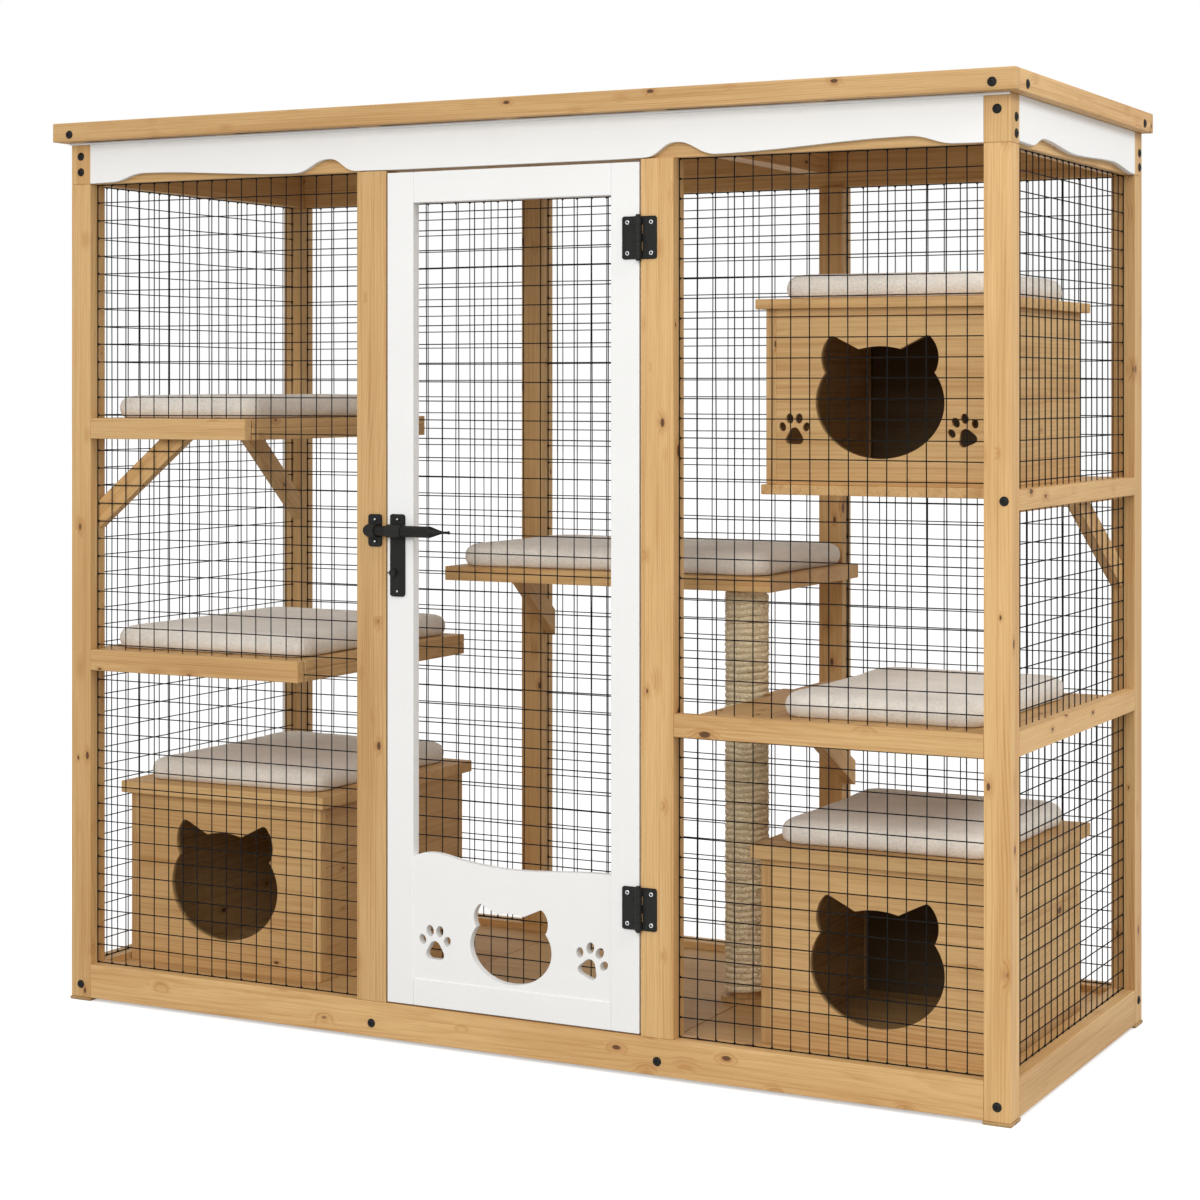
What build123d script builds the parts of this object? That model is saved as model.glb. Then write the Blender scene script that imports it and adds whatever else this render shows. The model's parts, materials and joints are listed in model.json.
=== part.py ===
from build123d import *
import math
import os

# Cat enclosure in pine, with a white door, a scalloped valance and black welded mesh.
# Millimetres, +Z up, +X to the right seen from the front, the front faces -Y.
# The origin is at the middle of the footprint of the roof, on the ground.
# Depths named d are measured back from the front face of the posts.

# Frame
frame_width = 2000.0
frame_depth = 810.0
frame_height = 1750.0
foot_height = 6.0
foot_margin = 2.0
post_size = 48.0
base_rail_height = 68.0
top_rail_height = 85.0
top_rail_thickness = 36.0
left_bay_width = 644.0
door_opening_width = 544.0
mid_post_width = 66.0
mid_post_depth = 45.0
back_left_bay_width = 581.0
back_centre_bay_width = 653.0
back_post_width = 52.0
joist_width = 45.0
joist_height = 60.0

# Floor
floor_top = 60.0
floor_thickness = 12.0
floor_seam = 2.0
bearer_width = 45.0
bearer_height = 30.0

# Roof
roof_side_overhang = 21.0
roof_front_overhang = 34.0
roof_back_overhang = 6.0
roof_edge_height = 38.0
roof_edge_thickness = 20.0
roof_deck_thickness = 12.0
batten_width = 45.0
trim_height = 5.0
trim_depth = 8.0

# Valance: the highs and lows of its wavy edge are shares of its length and of its deepest drop
valance_thickness = 12.0
valance_drop = 84.0
front_valance_half_shares = (
    (0.255, 1.0), (0.325, 0.99), (0.392, 0.685), (0.475, 0.98), (0.86, 0.80), (0.945, 0.99), (1.0, 1.0),
)
side_valance_shares = (
    (0.0, 0.95), (0.1, 0.97), (0.2, 0.77), (0.46, 0.92), (0.79, 0.84), (1.0, 1.0),
)

# Welded mesh, drawn at every second wire
mesh_pitch = 72.0
wire = 2.0
mesh_depth = 23.0

# Door, with the points of its panel's upper edge as shares of the panel's width and rise
door_gap = 3.0
door_top_gap = 5.0
door_thickness = 22.0
stile_width = 58.0
door_top_rail_height = 59.0
door_bottom_rail_height = 52.0
door_mesh_lap = 20.0
panel_height = 231.0
panel_rise = 18.0
panel_thickness = 16.0
panel_setback = 2.0
panel_top_shares = (
    (0.0, 0.5), (0.1, 1.0), (0.23, 0.55), (0.34, 0.22), (0.52, 0.0), (0.68, 0.16), (1.0, 0.5),
)
door_hole_width = 174.0
door_hole_height = 146.0
door_hole_lift = 8.0
door_paw_width = 70.0
door_paw_lift = 56.0
door_paw_reach = 164.0
door_paw_turn = 22.0

# Cat-head outline, in shares of its width and height
head_top_share = 0.907
ear_notch_shares = (0.43, 0.70)
ear_side_shares = (0.455, 0.83)
ear_tip_shares = (0.375, 1.0)
ear_inner_shares = (0.163, 0.886)
ear_root_shares = (0.2, 0.6)
ear_round_share = 0.03

# Paw outline, in shares of its width: place, half sizes and turn of each toe, and the pad's three circles
toe_shares = (
    (-0.385, 0.27, 0.105, 0.14), (-0.15, 0.52, 0.115, 0.155),
    (0.15, 0.52, 0.115, 0.155), (0.385, 0.27, 0.105, 0.14),
)
toe_turns = (18.0, 8.0, -8.0, -18.0)
pad_shares = ((0.0, 0.09, 0.165), (-0.155, -0.115, 0.135), (0.155, -0.115, 0.135))

# Hinges
hinge_height = 78.0
hinge_leaf_width = 35.0
hinge_leaf_thickness = 2.5
knuckle_radius = 6.5
knuckle_count = 5
knuckle_gap = 0.5
pin_radius = 3.0
pin_clearance = 0.25
pin_cap_radius = 4.4
pin_cap_height = 3.0
upper_hinge_drop = 138.0
lower_hinge_rise = 228.0
hinge_corner = 5.0
hinge_standoff = 0.3
hinge_screw_inset = 11.0

# Wood screws of the hinges and the latch
screw_head_radius = 4.2
screw_head_height = 1.6
screw_radius = 1.8
screw_length = 16.0
hole_clearance = 0.2

# Latch
latch_z = 977.0
latch_plate_width = 33.0
latch_plate_height = 157.0
latch_plate_above = 32.0
latch_plate_thickness = 3.0
latch_plate_inset = 8.0
latch_corner = 6.0
bolt_radius = 9.5
bolt_nose = 6.0
handle_radius = 10.8
bolt_clearance = 0.4
band_thickness = 2.6
keeper_width = 30.0
keeper_height = 62.0
keeper_edge_gap = 8.0
keeper_band_width = 18.0
bolt_end_reach = 5.0
handle_length = 62.0
spear_shoulder_length = 15.0
spear_shoulder_radius = 6.0
spear_taper_length = 12.0
spear_neck_radius = 2.4
spear_neck_length = 14.0
spear_ball_radius = 3.6
latch_screw_inset = 10.0
stud_radius = 7.0
stud_height = 7.0
stud_drop = 80.0
stud_inset = 9.0
stud_cone_radius = 3.4
stud_cone_length = 16.0

# Frame bolts and roof screws
bolt_head_radius = 8.5
bolt_head_height = 1.5
bolt_crown_radius = 6.0
bolt_crown_height = 2.0
frame_bolt_radius = 3.0
frame_bolt_length = 88.0
roof_screw_length = 44.0
base_bolt_z = 32.0
side_base_bolt_z = 50.0
top_bolt_drop = 28.0
second_bolt_drop = 60.0
side_bolt_drops = (40.0, 68.0)
roof_screw_drop = 24.0
roof_side_screw_inset = 61.0

# Shelves
shelf_thickness = 18.0
arm_height = 24.0
arm_width = 22.0
shelf_front_gap = 2.0
left_upper_shelf_top = 1188.0
left_upper_shelf_length = 382.0
left_upper_shelf_back = 681.0
left_lower_shelf_top = 716.0
left_lower_shelf_length = 507.0
left_lower_shelf_back = 640.0
centre_shelf_top = 888.0
centre_shelf_thickness = 28.0
centre_shelf_front = 311.0
centre_shelf_right_lap = 36.0
right_middle_shelf_top = 662.0
right_middle_shelf_back = 640.0
right_upper_shelf_top = 1075.0
right_upper_shelf_length = 475.0
right_upper_shelf_front = 90.0
middle_rail_height = 42.0
upper_rail_height = 35.0

# Braces
brace_width = 44.0
brace_thickness = 22.0
front_brace_reach = 224.0
front_brace_rise = 183.0
left_brace_reach = 222.0
left_brace_rise = 200.0
right_brace_reach = 300.0
right_brace_rise = 175.0
middle_brace_reach = 400.0
middle_brace_rise = 232.0
centre_brace_reach = 205.0
centre_brace_rise = 180.0
brace_lap = 20.0

# Houses
corner_batten = 20.0
house_board = 15.0
lid_overhang = 15.0
left_house_front = 130.0
left_house_depth = 558.0
left_house_gap = 4.0
left_house_width = 470.0
left_house_height = 349.0
left_lid_thickness = 24.0
right_house_front = 109.0
right_house_depth = 490.0
right_house_gap = 12.0
lower_house_width = 448.0
lower_house_height = 336.0
lower_lid_thickness = 24.0
upper_house_width = 438.0
upper_house_height = 317.0
upper_lid_thickness = 18.0
left_hole_width = 262.0
left_hole_height = 241.0
left_hole_lift = 62.0
lower_hole_width = 255.0
lower_hole_height = 232.0
lower_hole_lift = 50.0
upper_hole_width = 244.0
upper_hole_height = 221.0
upper_hole_lift = 48.0
house_paw_width = 60.0
house_paw_lift = 88.0
house_paw_edge_gap = 6.0

# Cushions: each section is a share of the height, and how far it is drawn in as a share of the height
cushion_height = 45.0
cushion_corner = 42.0
cushion_section_shares = (
    (0.0, 0.30), (0.1, 0.12), (0.22, 0.03), (0.36, 0.0), (0.5, 0.04), (0.62, 0.14),
    (0.73, 0.32), (0.82, 0.6), (0.89, 0.95), (0.95, 1.5), (1.0, 2.6),
)
cushion_margin = 14.0
middle_cushion_left_margin = 140.0
middle_cushion_back_margin = 80.0

# Scratching post
rope_post_radius = 42.5
rope_post_depth = 397.0
rope_radius = 6.0
rope_loops = 24
rope_clearance = 0.3
rope_end_gap = 3.0
post_flange_radius = 50.0
post_flange_height = 10.0

overrun = 5.0

# Places worked out from the sizes above
front_y = roof_front_overhang - (frame_depth + roof_front_overhang + roof_back_overhang) / 2
half_width = frame_width / 2
inner_x = half_width - post_size
back_face = frame_depth - post_size
base_top = foot_height + base_rail_height
rail_bottom = frame_height - top_rail_height
roof_x = half_width + roof_side_overhang
roof_front = -roof_front_overhang
roof_back = frame_depth + roof_back_overhang
roof_top = frame_height + roof_edge_height
deck_bottom = roof_top - roof_deck_thickness
bay_z = (base_top, rail_bottom)
left_post = (-half_width, -inner_x)
right_post = (inner_x, half_width)
front_post = (0, post_size)
back_post = (back_face, frame_depth)
side_bay = (post_size, back_face)
mid_left = (left_bay_width - inner_x, left_bay_width - inner_x + mid_post_width)
mid_right = (mid_left[1] + door_opening_width, mid_left[1] + door_opening_width + mid_post_width)
back_left = (back_left_bay_width - inner_x, back_left_bay_width - inner_x + back_post_width)
back_right = (back_left[1] + back_centre_bay_width, back_left[1] + back_centre_bay_width + back_post_width)
front_mesh = (mesh_depth, mesh_depth + wire)
back_mesh = (frame_depth - front_mesh[1], frame_depth - front_mesh[0])
side_mesh = (half_width - front_mesh[1], half_width - front_mesh[0])
behind_mesh = front_mesh[1] + shelf_front_gap
front_top_rail = (valance_thickness, valance_thickness + top_rail_thickness)
back_top_rail = (frame_depth - top_rail_thickness, frame_depth)
side_top_rail = (half_width - front_top_rail[1], half_width - front_top_rail[0])


def middle(limits):
    """Half way between two limits."""
    return (limits[0] + limits[1]) / 2


def span(limits):
    """The distance between two limits."""
    return limits[1] - limits[0]


def mirrored(limits):
    """The same limits on the left side."""
    return (-limits[1], -limits[0])


def inset(limits, low, high):
    """Limits drawn in by one margin at the low end and another at the high end."""
    return (limits[0] + low, limits[1] - high)


def front_plane(d):
    """An upright plane across the width, looking forward, at a depth."""
    return Plane.XZ.offset(-(front_y + d))


def side_plane(x):
    """An upright plane from front to back, looking right."""
    return Plane.YZ.offset(x)


def fill(x, d, z, mode=Mode.ADD):
    """A straight board between two limits across, back and up, in the open part."""
    with Locations((middle(x), front_y + middle(d), middle(z))):
        Box(span(x), span(d), span(z), mode=mode)


def board(x, d, z):
    """One loose board, for a node whose boards touch."""
    with BuildPart() as piece:
        fill(x, d, z)
    return piece.part


def notched_board(areas, z):
    """A loose board cut to the outline of several joined areas, each given across and back."""
    with BuildPart() as piece:
        with BuildSketch(Plane.XY.offset(z[0])):
            for x, d in areas:
                with Locations((middle(x), front_y + middle(d))):
                    Rectangle(span(x), span(d))
        extrude(amount=span(z))
    return piece.part


def save(part, label):
    """Label a finished piece and write it."""
    part.label = label
    export_step(part, f"parts/{label}.step")


def save_group(pieces, label):
    """Write several separate pieces under one name."""
    save(Compound(children=pieces), label)


os.makedirs("parts", exist_ok=True)


# Frame bolts: each plane lies on the outer face of the wood and looks into it
def into_front(x, d, z):
    """A plane on a face that looks forward."""
    return Plane(origin=(x, front_y + d, z), x_dir=(1, 0, 0), z_dir=(0, 1, 0))


def into_back(x, d, z):
    """A plane on a face that looks back."""
    return Plane(origin=(x, front_y + d, z), x_dir=(1, 0, 0), z_dir=(0, -1, 0))


def into_side(x, d, z):
    """A plane on a side face, left or right by the sign of x."""
    return Plane(origin=(x, front_y + d, z), x_dir=(0, 1, 0), z_dir=(-math.copysign(1, x), 0, 0))


post_x = middle(right_post)
top_bolt_z = frame_height - top_bolt_drop
bolt_planes = [into_front(x, 0, z) for x in (-post_x, post_x) for z in (base_bolt_z, top_bolt_z)]
bolt_planes += [into_back(x, frame_depth, z) for x in (-post_x, post_x) for z in (base_bolt_z, top_bolt_z)]
bolt_planes += [into_front(-post_x, 0, frame_height - second_bolt_drop)]
bolt_planes += [into_front(middle(post), 0, base_bolt_z) for post in (mid_left, mid_right)]
bolt_planes += [into_front((side_mesh[1] + half_width) / 2, 0, right_upper_shelf_top - upper_rail_height / 2)]
bolt_planes += [
    into_side(x, middle(rail), frame_height - drop)
    for x in (-half_width, half_width)
    for rail in (front_top_rail, back_top_rail)
    for drop in side_bolt_drops
]
bolt_planes += [into_side(x, middle(back_post), side_base_bolt_z) for x in (-half_width, half_width)]

# Roof screws, into the end battens
end_batten = (roof_x - roof_edge_thickness - batten_width, roof_x - roof_edge_thickness)
roof_screw_z = roof_top - roof_screw_drop
roof_planes = [into_front(x, roof_front, roof_screw_z) for x in (-middle(end_batten), middle(end_batten))]
roof_planes += [into_back(x, roof_back, roof_screw_z) for x in (-middle(end_batten), middle(end_batten))]
roof_planes += [
    into_side(x, d, roof_screw_z)
    for x in (-roof_x, roof_x)
    for d in (roof_front + roof_side_screw_inset, roof_back - roof_side_screw_inset)
]


def bore(planes, radius, length):
    """Holes into the wood from each plane, in the open part."""
    with Locations(*planes):
        Cylinder(radius, length, align=(Align.CENTER, Align.CENTER, Align.MIN), mode=Mode.SUBTRACT)


def drill_frame():
    """The holes of every frame bolt and roof screw that meets the open part."""
    bore(bolt_planes, frame_bolt_radius + hole_clearance, frame_bolt_length + overrun)
    bore(roof_planes, frame_bolt_radius + hole_clearance, roof_screw_length + overrun)


def add_bolts(planes, length):
    """Domed bolts with their shanks in the wood and their heads on its face, in the open part."""
    with Locations(*planes):
        Cylinder(frame_bolt_radius, length, align=(Align.CENTER, Align.CENTER, Align.MIN))
        Cylinder(bolt_head_radius, bolt_head_height, align=(Align.CENTER, Align.CENTER, Align.MAX))
        with Locations((0, 0, -bolt_head_height)):
            Cone(
                bolt_crown_radius, bolt_head_radius, bolt_crown_height,
                align=(Align.CENTER, Align.CENTER, Align.MAX),
            )


with BuildPart() as frame_bolts:
    add_bolts(bolt_planes, frame_bolt_length)
save(frame_bolts.part, "frame_bolts")

with BuildPart() as roof_screws:
    add_bolts(roof_planes, roof_screw_length)
save(roof_screws.part, "roof_screws")

# Places of the hinge and latch screws, as planes on the faces they enter
door_x = (mid_left[1] + door_gap, mid_right[0] - door_gap)
door_z = (base_top + door_gap, rail_bottom - door_top_gap)
hinge_x = (door_x[1] + mid_right[0]) / 2
hinge_y = front_y - knuckle_radius - hinge_standoff
hinge_centres = (door_z[0] + lower_hinge_rise, door_z[1] - upper_hinge_drop)
hinge_screw_x = hinge_leaf_width - hinge_screw_inset
hinge_screw_z = [
    centre + side * (hinge_height / 2 - hinge_screw_inset)
    for centre in hinge_centres
    for side in (-1, 1)
]
latch_plate_x = (door_x[0] + latch_plate_inset, door_x[0] + latch_plate_inset + latch_plate_width)
latch_plate_z = (latch_z + latch_plate_above - latch_plate_height, latch_z + latch_plate_above)
keeper_x = (mid_left[1] - keeper_edge_gap - keeper_width, mid_left[1] - keeper_edge_gap)
keeper_z = (latch_z - keeper_height / 2, latch_z + keeper_height / 2)
post_screw_places = [(hinge_x + hinge_screw_x, z) for z in hinge_screw_z]
keeper_screw_places = [(middle(keeper_x), z) for z in inset(keeper_z, latch_screw_inset, latch_screw_inset)]
door_screw_places = [(hinge_x - hinge_screw_x, z) for z in hinge_screw_z]
latch_screw_places = [
    (middle(latch_plate_x), z) for z in inset(latch_plate_z, latch_screw_inset, latch_screw_inset)
]


def screw_holes(places, radius=screw_radius + hole_clearance):
    """Pilot holes behind hinge leaves and latch plates, in the open part."""
    planes = [into_front(x, -hinge_leaf_width, z) for x, z in places]
    bore(planes, radius, hinge_leaf_width + screw_length + overrun)


def add_screws(places, plate):
    """Screws through a plate of one thickness into the wood, in the open part."""
    with Locations(*[into_front(x, -plate, z) for x, z in places]):
        Cylinder(screw_radius, plate + screw_length, align=(Align.CENTER, Align.CENTER, Align.MIN))
        Cylinder(screw_head_radius, screw_head_height, align=(Align.CENTER, Align.CENTER, Align.MAX))


# Feet, posts and rails
with BuildPart() as foot_pads:
    for x in (left_post, right_post):
        for d in (front_post, back_post):
            fill(inset(x, -foot_margin, -foot_margin), inset(d, -foot_margin, -foot_margin), (0, foot_height))
save(foot_pads.part, "foot_pads")

with BuildPart() as corner_posts:
    for x in (left_post, right_post):
        for d in (front_post, back_post):
            fill(x, d, (foot_height, rail_bottom))
    drill_frame()
save(corner_posts.part, "corner_posts")

with BuildPart() as corner_blocks:
    for x in (left_post, right_post):
        for d in (front_post, back_post):
            fill(x, d, (rail_bottom, frame_height))
    drill_frame()
save(corner_blocks.part, "corner_blocks")

with BuildPart() as door_posts:
    for x in (mid_left, mid_right):
        fill(x, (0, mid_post_depth), bay_z)
    screw_holes(keeper_screw_places + post_screw_places)
save(door_posts.part, "door_posts")

with BuildPart() as back_posts:
    for x in (back_left, back_right):
        fill(x, back_post, bay_z)
save(back_posts.part, "back_posts")

with BuildPart() as long_base_rails:
    for d in (front_post, back_post):
        fill((-inner_x, inner_x), d, (foot_height, base_top))
    drill_frame()
save(long_base_rails.part, "long_base_rails")

with BuildPart() as side_base_rails:
    for x in (left_post, right_post):
        fill(x, side_bay, (foot_height, base_top))
    drill_frame()
save(side_base_rails.part, "side_base_rails")

with BuildPart() as long_top_rails:
    for d in (front_top_rail, back_top_rail):
        fill((-inner_x, inner_x), d, (rail_bottom, frame_height))
    drill_frame()
save(long_top_rails.part, "long_top_rails")

with BuildPart() as side_top_rails:
    for x in (mirrored(side_top_rail), side_top_rail):
        fill(x, side_bay, (rail_bottom, frame_height))
    drill_frame()
save(side_top_rails.part, "side_top_rails")


def centred(x, width):
    """Limits of one width about a middle."""
    return (x - width / 2, x + width / 2)


roof_joists = [
    board(
        centred(x, joist_width), (front_top_rail[1], back_top_rail[0]),
        (frame_height - joist_height, frame_height),
    )
    for x in (middle(mid_left), middle(mid_right))
]

# Floor: bearers under the posts, the ends and the middle of each bay, and one board to each bay
bay_edges = (-inner_x, middle(mid_left), middle(mid_right), inner_x)
bays = [(bay_edges[i], bay_edges[i + 1]) for i in range(len(bay_edges) - 1)]
bearer_z = (floor_top - floor_thickness - bearer_height, floor_top - floor_thickness)
with BuildPart() as floor_bearers:
    for x in [middle(bay) for bay in bays] + [middle(mid_left), middle(mid_right)]:
        fill(centred(x, bearer_width), side_bay, bearer_z)
    for x in ((-inner_x, bearer_width - inner_x), (inner_x - bearer_width, inner_x)):
        fill(x, side_bay, bearer_z)
    drill_frame()
save(floor_bearers.part, "floor_bearers")

with BuildPart() as floor_boards:
    for i, bay in enumerate(bays):
        left_seam = floor_seam / 2 if i > 0 else 0
        right_seam = floor_seam / 2 if i < len(bays) - 1 else 0
        fill(inset(bay, left_seam, right_seam), side_bay, (floor_top - floor_thickness, floor_top))
save(floor_boards.part, "floor_boards")

# Roof: battens on the top rails, a deck on the battens and edge boards round both
inner_roof_d = (roof_front + roof_edge_thickness, roof_back - roof_edge_thickness)
with BuildPart() as roof_battens:
    for x in [middle(bay) for bay in bays] + [middle(mid_left), middle(mid_right)]:
        fill(centred(x, batten_width), inner_roof_d, (frame_height, deck_bottom))
    for x in (mirrored(end_batten), end_batten):
        fill(x, inner_roof_d, (frame_height, deck_bottom))
    drill_frame()
save_group([*roof_joists, *roof_battens.part.solids()], "roof_joists")

with BuildPart() as roof_deck:
    fill((-end_batten[1], end_batten[1]), inner_roof_d, (deck_bottom, roof_top))
save(roof_deck.part, "roof_deck")

with BuildPart() as long_roof_edges:
    for d in ((roof_front, inner_roof_d[0]), (inner_roof_d[1], roof_back)):
        fill((-roof_x, roof_x), d, (frame_height, roof_top))
    drill_frame()
save(long_roof_edges.part, "long_roof_edges")

with BuildPart() as side_roof_edges:
    for x in ((-roof_x, -end_batten[1]), (end_batten[1], roof_x)):
        fill(x, inner_roof_d, (frame_height, roof_top))
    drill_frame()
save(side_roof_edges.part, "side_roof_edges")

with BuildPart() as roof_trim:
    fill((-half_width, half_width), (-trim_depth, 0), (frame_height - trim_height, frame_height))



# Valances
def wave(points):
    """A wavy edge that runs level at each high and low, in the open line."""
    for start, end in zip(points, points[1:]):
        Spline(start, end, tangents=((1, 0), (1, 0)))


with BuildPart() as front_valance:
    right_edge = [(x * inner_x, frame_height - drop * valance_drop) for x, drop in front_valance_half_shares]
    left_edge = [(-x, z) for x, z in reversed(right_edge)]
    with BuildSketch(front_plane(valance_thickness)):
        with BuildLine():
            wave(left_edge + right_edge)
            Polyline(right_edge[-1], (inner_x, frame_height), (-inner_x, frame_height), left_edge[0])
        make_face()
    extrude(amount=valance_thickness)

with BuildPart() as side_valances:
    lower_edge = [
        (front_y + post_size + share * span(side_bay), frame_height - drop * valance_drop)
        for share, drop in side_valance_shares
    ]
    top_edge = [(lower_edge[-1][0], frame_height), (lower_edge[0][0], frame_height)]
    for x in (-half_width, half_width - valance_thickness):
        with BuildSketch(side_plane(x)):
            with BuildLine():
                wave(lower_edge)
                Polyline(lower_edge[-1], *top_edge, lower_edge[0])
            make_face()
        extrude(amount=valance_thickness)
save_group([roof_trim.part, front_valance.part, *side_valances.part.solids()], "valances")


# Welded mesh
def mesh_sheet(plane, across, up):
    """One welded sheet, a face full of gaps as thick as its wire."""
    columns = max(1, round(span(across) / mesh_pitch))
    rows = max(1, round(span(up) / mesh_pitch))
    step_across = (span(across) - wire) / columns
    step_up = (span(up) - wire) / rows
    with BuildPart() as sheet:
        with BuildSketch(plane):
            with Locations((middle(across), middle(up))):
                Rectangle(span(across), span(up))
                with GridLocations(step_across, step_up, columns, rows):
                    Rectangle(step_across - wire, step_up - wire, mode=Mode.SUBTRACT)
        extrude(amount=wire)
    return sheet.part


front_bays = ((-inner_x, mid_left[0]), (mid_right[1], inner_x))
back_bays = ((-inner_x, back_left[0]), (back_left[1], back_right[0]), (back_right[1], inner_x))
side_bay_y = inset(side_bay, front_y, -front_y)
save_group([mesh_sheet(front_plane(front_mesh[1]), x, bay_z) for x in front_bays], "front_mesh")
save_group([mesh_sheet(front_plane(back_mesh[1]), x, bay_z) for x in back_bays], "back_mesh")
save_group(
    [mesh_sheet(side_plane(x), side_bay_y, bay_z) for x in (-side_mesh[1], side_mesh[0])],
    "side_mesh",
)


# Cut-outs
def cat_head(width, height):
    """A round face with two pointed ears, standing on its origin."""

    def ear_point(shares):
        return (-shares[0] * width, shares[1] * height)

    with BuildSketch() as ear:
        with BuildLine():
            ThreePointArc(ear_point(ear_notch_shares), ear_point(ear_side_shares), ear_point(ear_tip_shares))
            Polyline(
                ear_point(ear_tip_shares), ear_point(ear_inner_shares),
                ear_point(ear_root_shares), ear_point(ear_notch_shares),
            )
        make_face()
        fillet(ear.vertices().group_by(Axis.Y)[-1], ear_round_share * width)
    face_height = head_top_share * height
    with BuildSketch() as head:
        with Locations((0, face_height / 2)):
            Ellipse(width / 2, face_height / 2)
        add(ear.sketch)
        mirror(ear.sketch, about=Plane.YZ)
    return head.sketch


def paw(width, turn=0.0):
    """A print of four toes and a pad, about its middle."""
    with BuildSketch() as pad:
        for x, y, radius in pad_shares:
            with Locations((x * width, y * width)):
                Circle(radius * width)
        make_hull()
    with BuildSketch() as outline:
        add(pad.sketch)
        for (x, y, across, up), tilt in zip(toe_shares, toe_turns):
            with Locations(Location((x * width, y * width), tilt)):
                Ellipse(across * width, up * width)
    return outline.sketch.rotate(Axis.Z, -turn)


def panel_with_holes(outline, holes, d, thickness):
    """A flat panel with its cut-outs, each given with its place across and up."""
    with BuildPart() as panel:
        with BuildSketch(front_plane(d + thickness)):
            add(outline)
            for shape, x, z in holes:
                add(shape.moved(Location((x, z))), mode=Mode.SUBTRACT)
        extrude(amount=thickness)
    return panel.part


# Door
stile_x = (door_x[0] + stile_width, door_x[1] - stile_width)
door_d = (0, door_thickness)
with BuildPart() as door_stiles:
    for x in ((door_x[0], stile_x[0]), (stile_x[1], door_x[1])):
        fill(x, door_d, door_z)
    screw_holes(door_screw_places + latch_screw_places)
save(door_stiles.part, "door_stiles")

door_rail_z = (door_z[0] + door_bottom_rail_height, door_z[1] - door_top_rail_height)
with BuildPart() as door_rails:
    fill(stile_x, door_d, (door_z[0], door_rail_z[0]))
    fill(stile_x, door_d, (door_rail_z[1], door_z[1]))
save(door_rails.part, "door_rails")

panel_top = [
    (stile_x[0] + share * span(stile_x), door_rail_z[0] + panel_height - panel_rise / 2 + rise * panel_rise)
    for share, rise in panel_top_shares
]
with BuildSketch() as panel_outline:
    with BuildLine():
        Spline(*panel_top)
        Polyline(panel_top[-1], (stile_x[1], door_rail_z[0]), (stile_x[0], door_rail_z[0]), panel_top[0])
    make_face()
paw_z = door_rail_z[0] + door_paw_lift
door_panel = panel_with_holes(
    panel_outline.sketch,
    [
        (cat_head(door_hole_width, door_hole_height), middle(door_x), door_rail_z[0] + door_hole_lift),
        (paw(door_paw_width), middle(door_x) - door_paw_reach, paw_z),
        (paw(door_paw_width, door_paw_turn), middle(door_x) + door_paw_reach, paw_z),
    ],
    panel_setback, panel_thickness,
)
save(door_panel, "door_panel")

door_mesh = mesh_sheet(
    front_plane(door_thickness + wire),
    inset(stile_x, -door_mesh_lap, -door_mesh_lap),
    inset(door_rail_z, -door_mesh_lap, -door_mesh_lap),
)
save(door_mesh, "door_mesh")

# Hinges
knuckle_height = hinge_height / knuckle_count


def hinge_leaf(centre, side, odd):
    """A leaf on one side of the pin, with the odd or the even knuckles."""
    reach = knuckle_radius + knuckle_gap
    leaf_x = sorted((hinge_x + side * reach, hinge_x + side * hinge_leaf_width))
    root_x = sorted((hinge_x, hinge_x + side * reach))
    with BuildPart() as leaf:
        fill(leaf_x, (-hinge_leaf_thickness, 0), centred(centre, hinge_height))
        corners = leaf.edges().filter_by(Axis.Y).sort_by(Axis.X)
        fillet(corners[-2:] if side > 0 else corners[:2], hinge_corner)
        for i in range(odd, knuckle_count, 2):
            knuckle_z = centre - hinge_height / 2 + (i + 1 / 2) * knuckle_height
            body_z = centred(knuckle_z, knuckle_height - knuckle_gap)
            with Locations((hinge_x, hinge_y, knuckle_z)):
                Cylinder(knuckle_radius, span(body_z))
            fill(root_x, (-hinge_leaf_thickness, -hinge_standoff), body_z)
            with Locations((hinge_x, hinge_y, knuckle_z)):
                Cylinder(pin_radius + pin_clearance, span(body_z) + overrun, mode=Mode.SUBTRACT)
        screw_holes([(hinge_x + side * hinge_screw_x, z) for z in hinge_screw_z])
    return leaf.part


save_group([hinge_leaf(centre, 1, 0) for centre in hinge_centres], "hinge_leaves_post")
save_group([hinge_leaf(centre, -1, 1) for centre in hinge_centres], "hinge_leaves_door")

with BuildPart() as hinge_pins:
    for centre in hinge_centres:
        with Locations((hinge_x, hinge_y, centre)):
            Cylinder(pin_radius, hinge_height)
        for side in (-1, 1):
            with Locations((hinge_x, hinge_y, centre + side * (hinge_height + pin_cap_height) / 2)):
                Cylinder(pin_cap_radius, pin_cap_height)
save(hinge_pins.part, "hinge_pins")

# Latch
bolt_y = front_y - latch_plate_thickness - bolt_clearance - bolt_radius
band_radius = bolt_radius + bolt_clearance + band_thickness


def banded_plate(x, z, band_x):
    """A plate with rounded corners and a band round the bolt, with the bolt's bore through it."""
    with BuildPart() as plate:
        with BuildSketch(front_plane(0)):
            with Locations((middle(x), middle(z))):
                RectangleRounded(span(x), span(z), latch_corner)
        extrude(amount=latch_plate_thickness)
        with BuildSketch(side_plane(band_x[0])):
            with Locations((bolt_y, latch_z)):
                Circle(band_radius)
                Rectangle(front_y - bolt_y, band_radius * 2, align=(Align.MIN, Align.CENTER))
                Circle(bolt_radius + bolt_clearance, mode=Mode.SUBTRACT)
        extrude(amount=span(band_x))
        screw_holes(keeper_screw_places + latch_screw_places)
    return plate.part


latch_plate = banded_plate(latch_plate_x, latch_plate_z, latch_plate_x)
save(banded_plate(keeper_x, keeper_z, centred(middle(keeper_x), keeper_band_width)), "latch_keeper")

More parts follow.
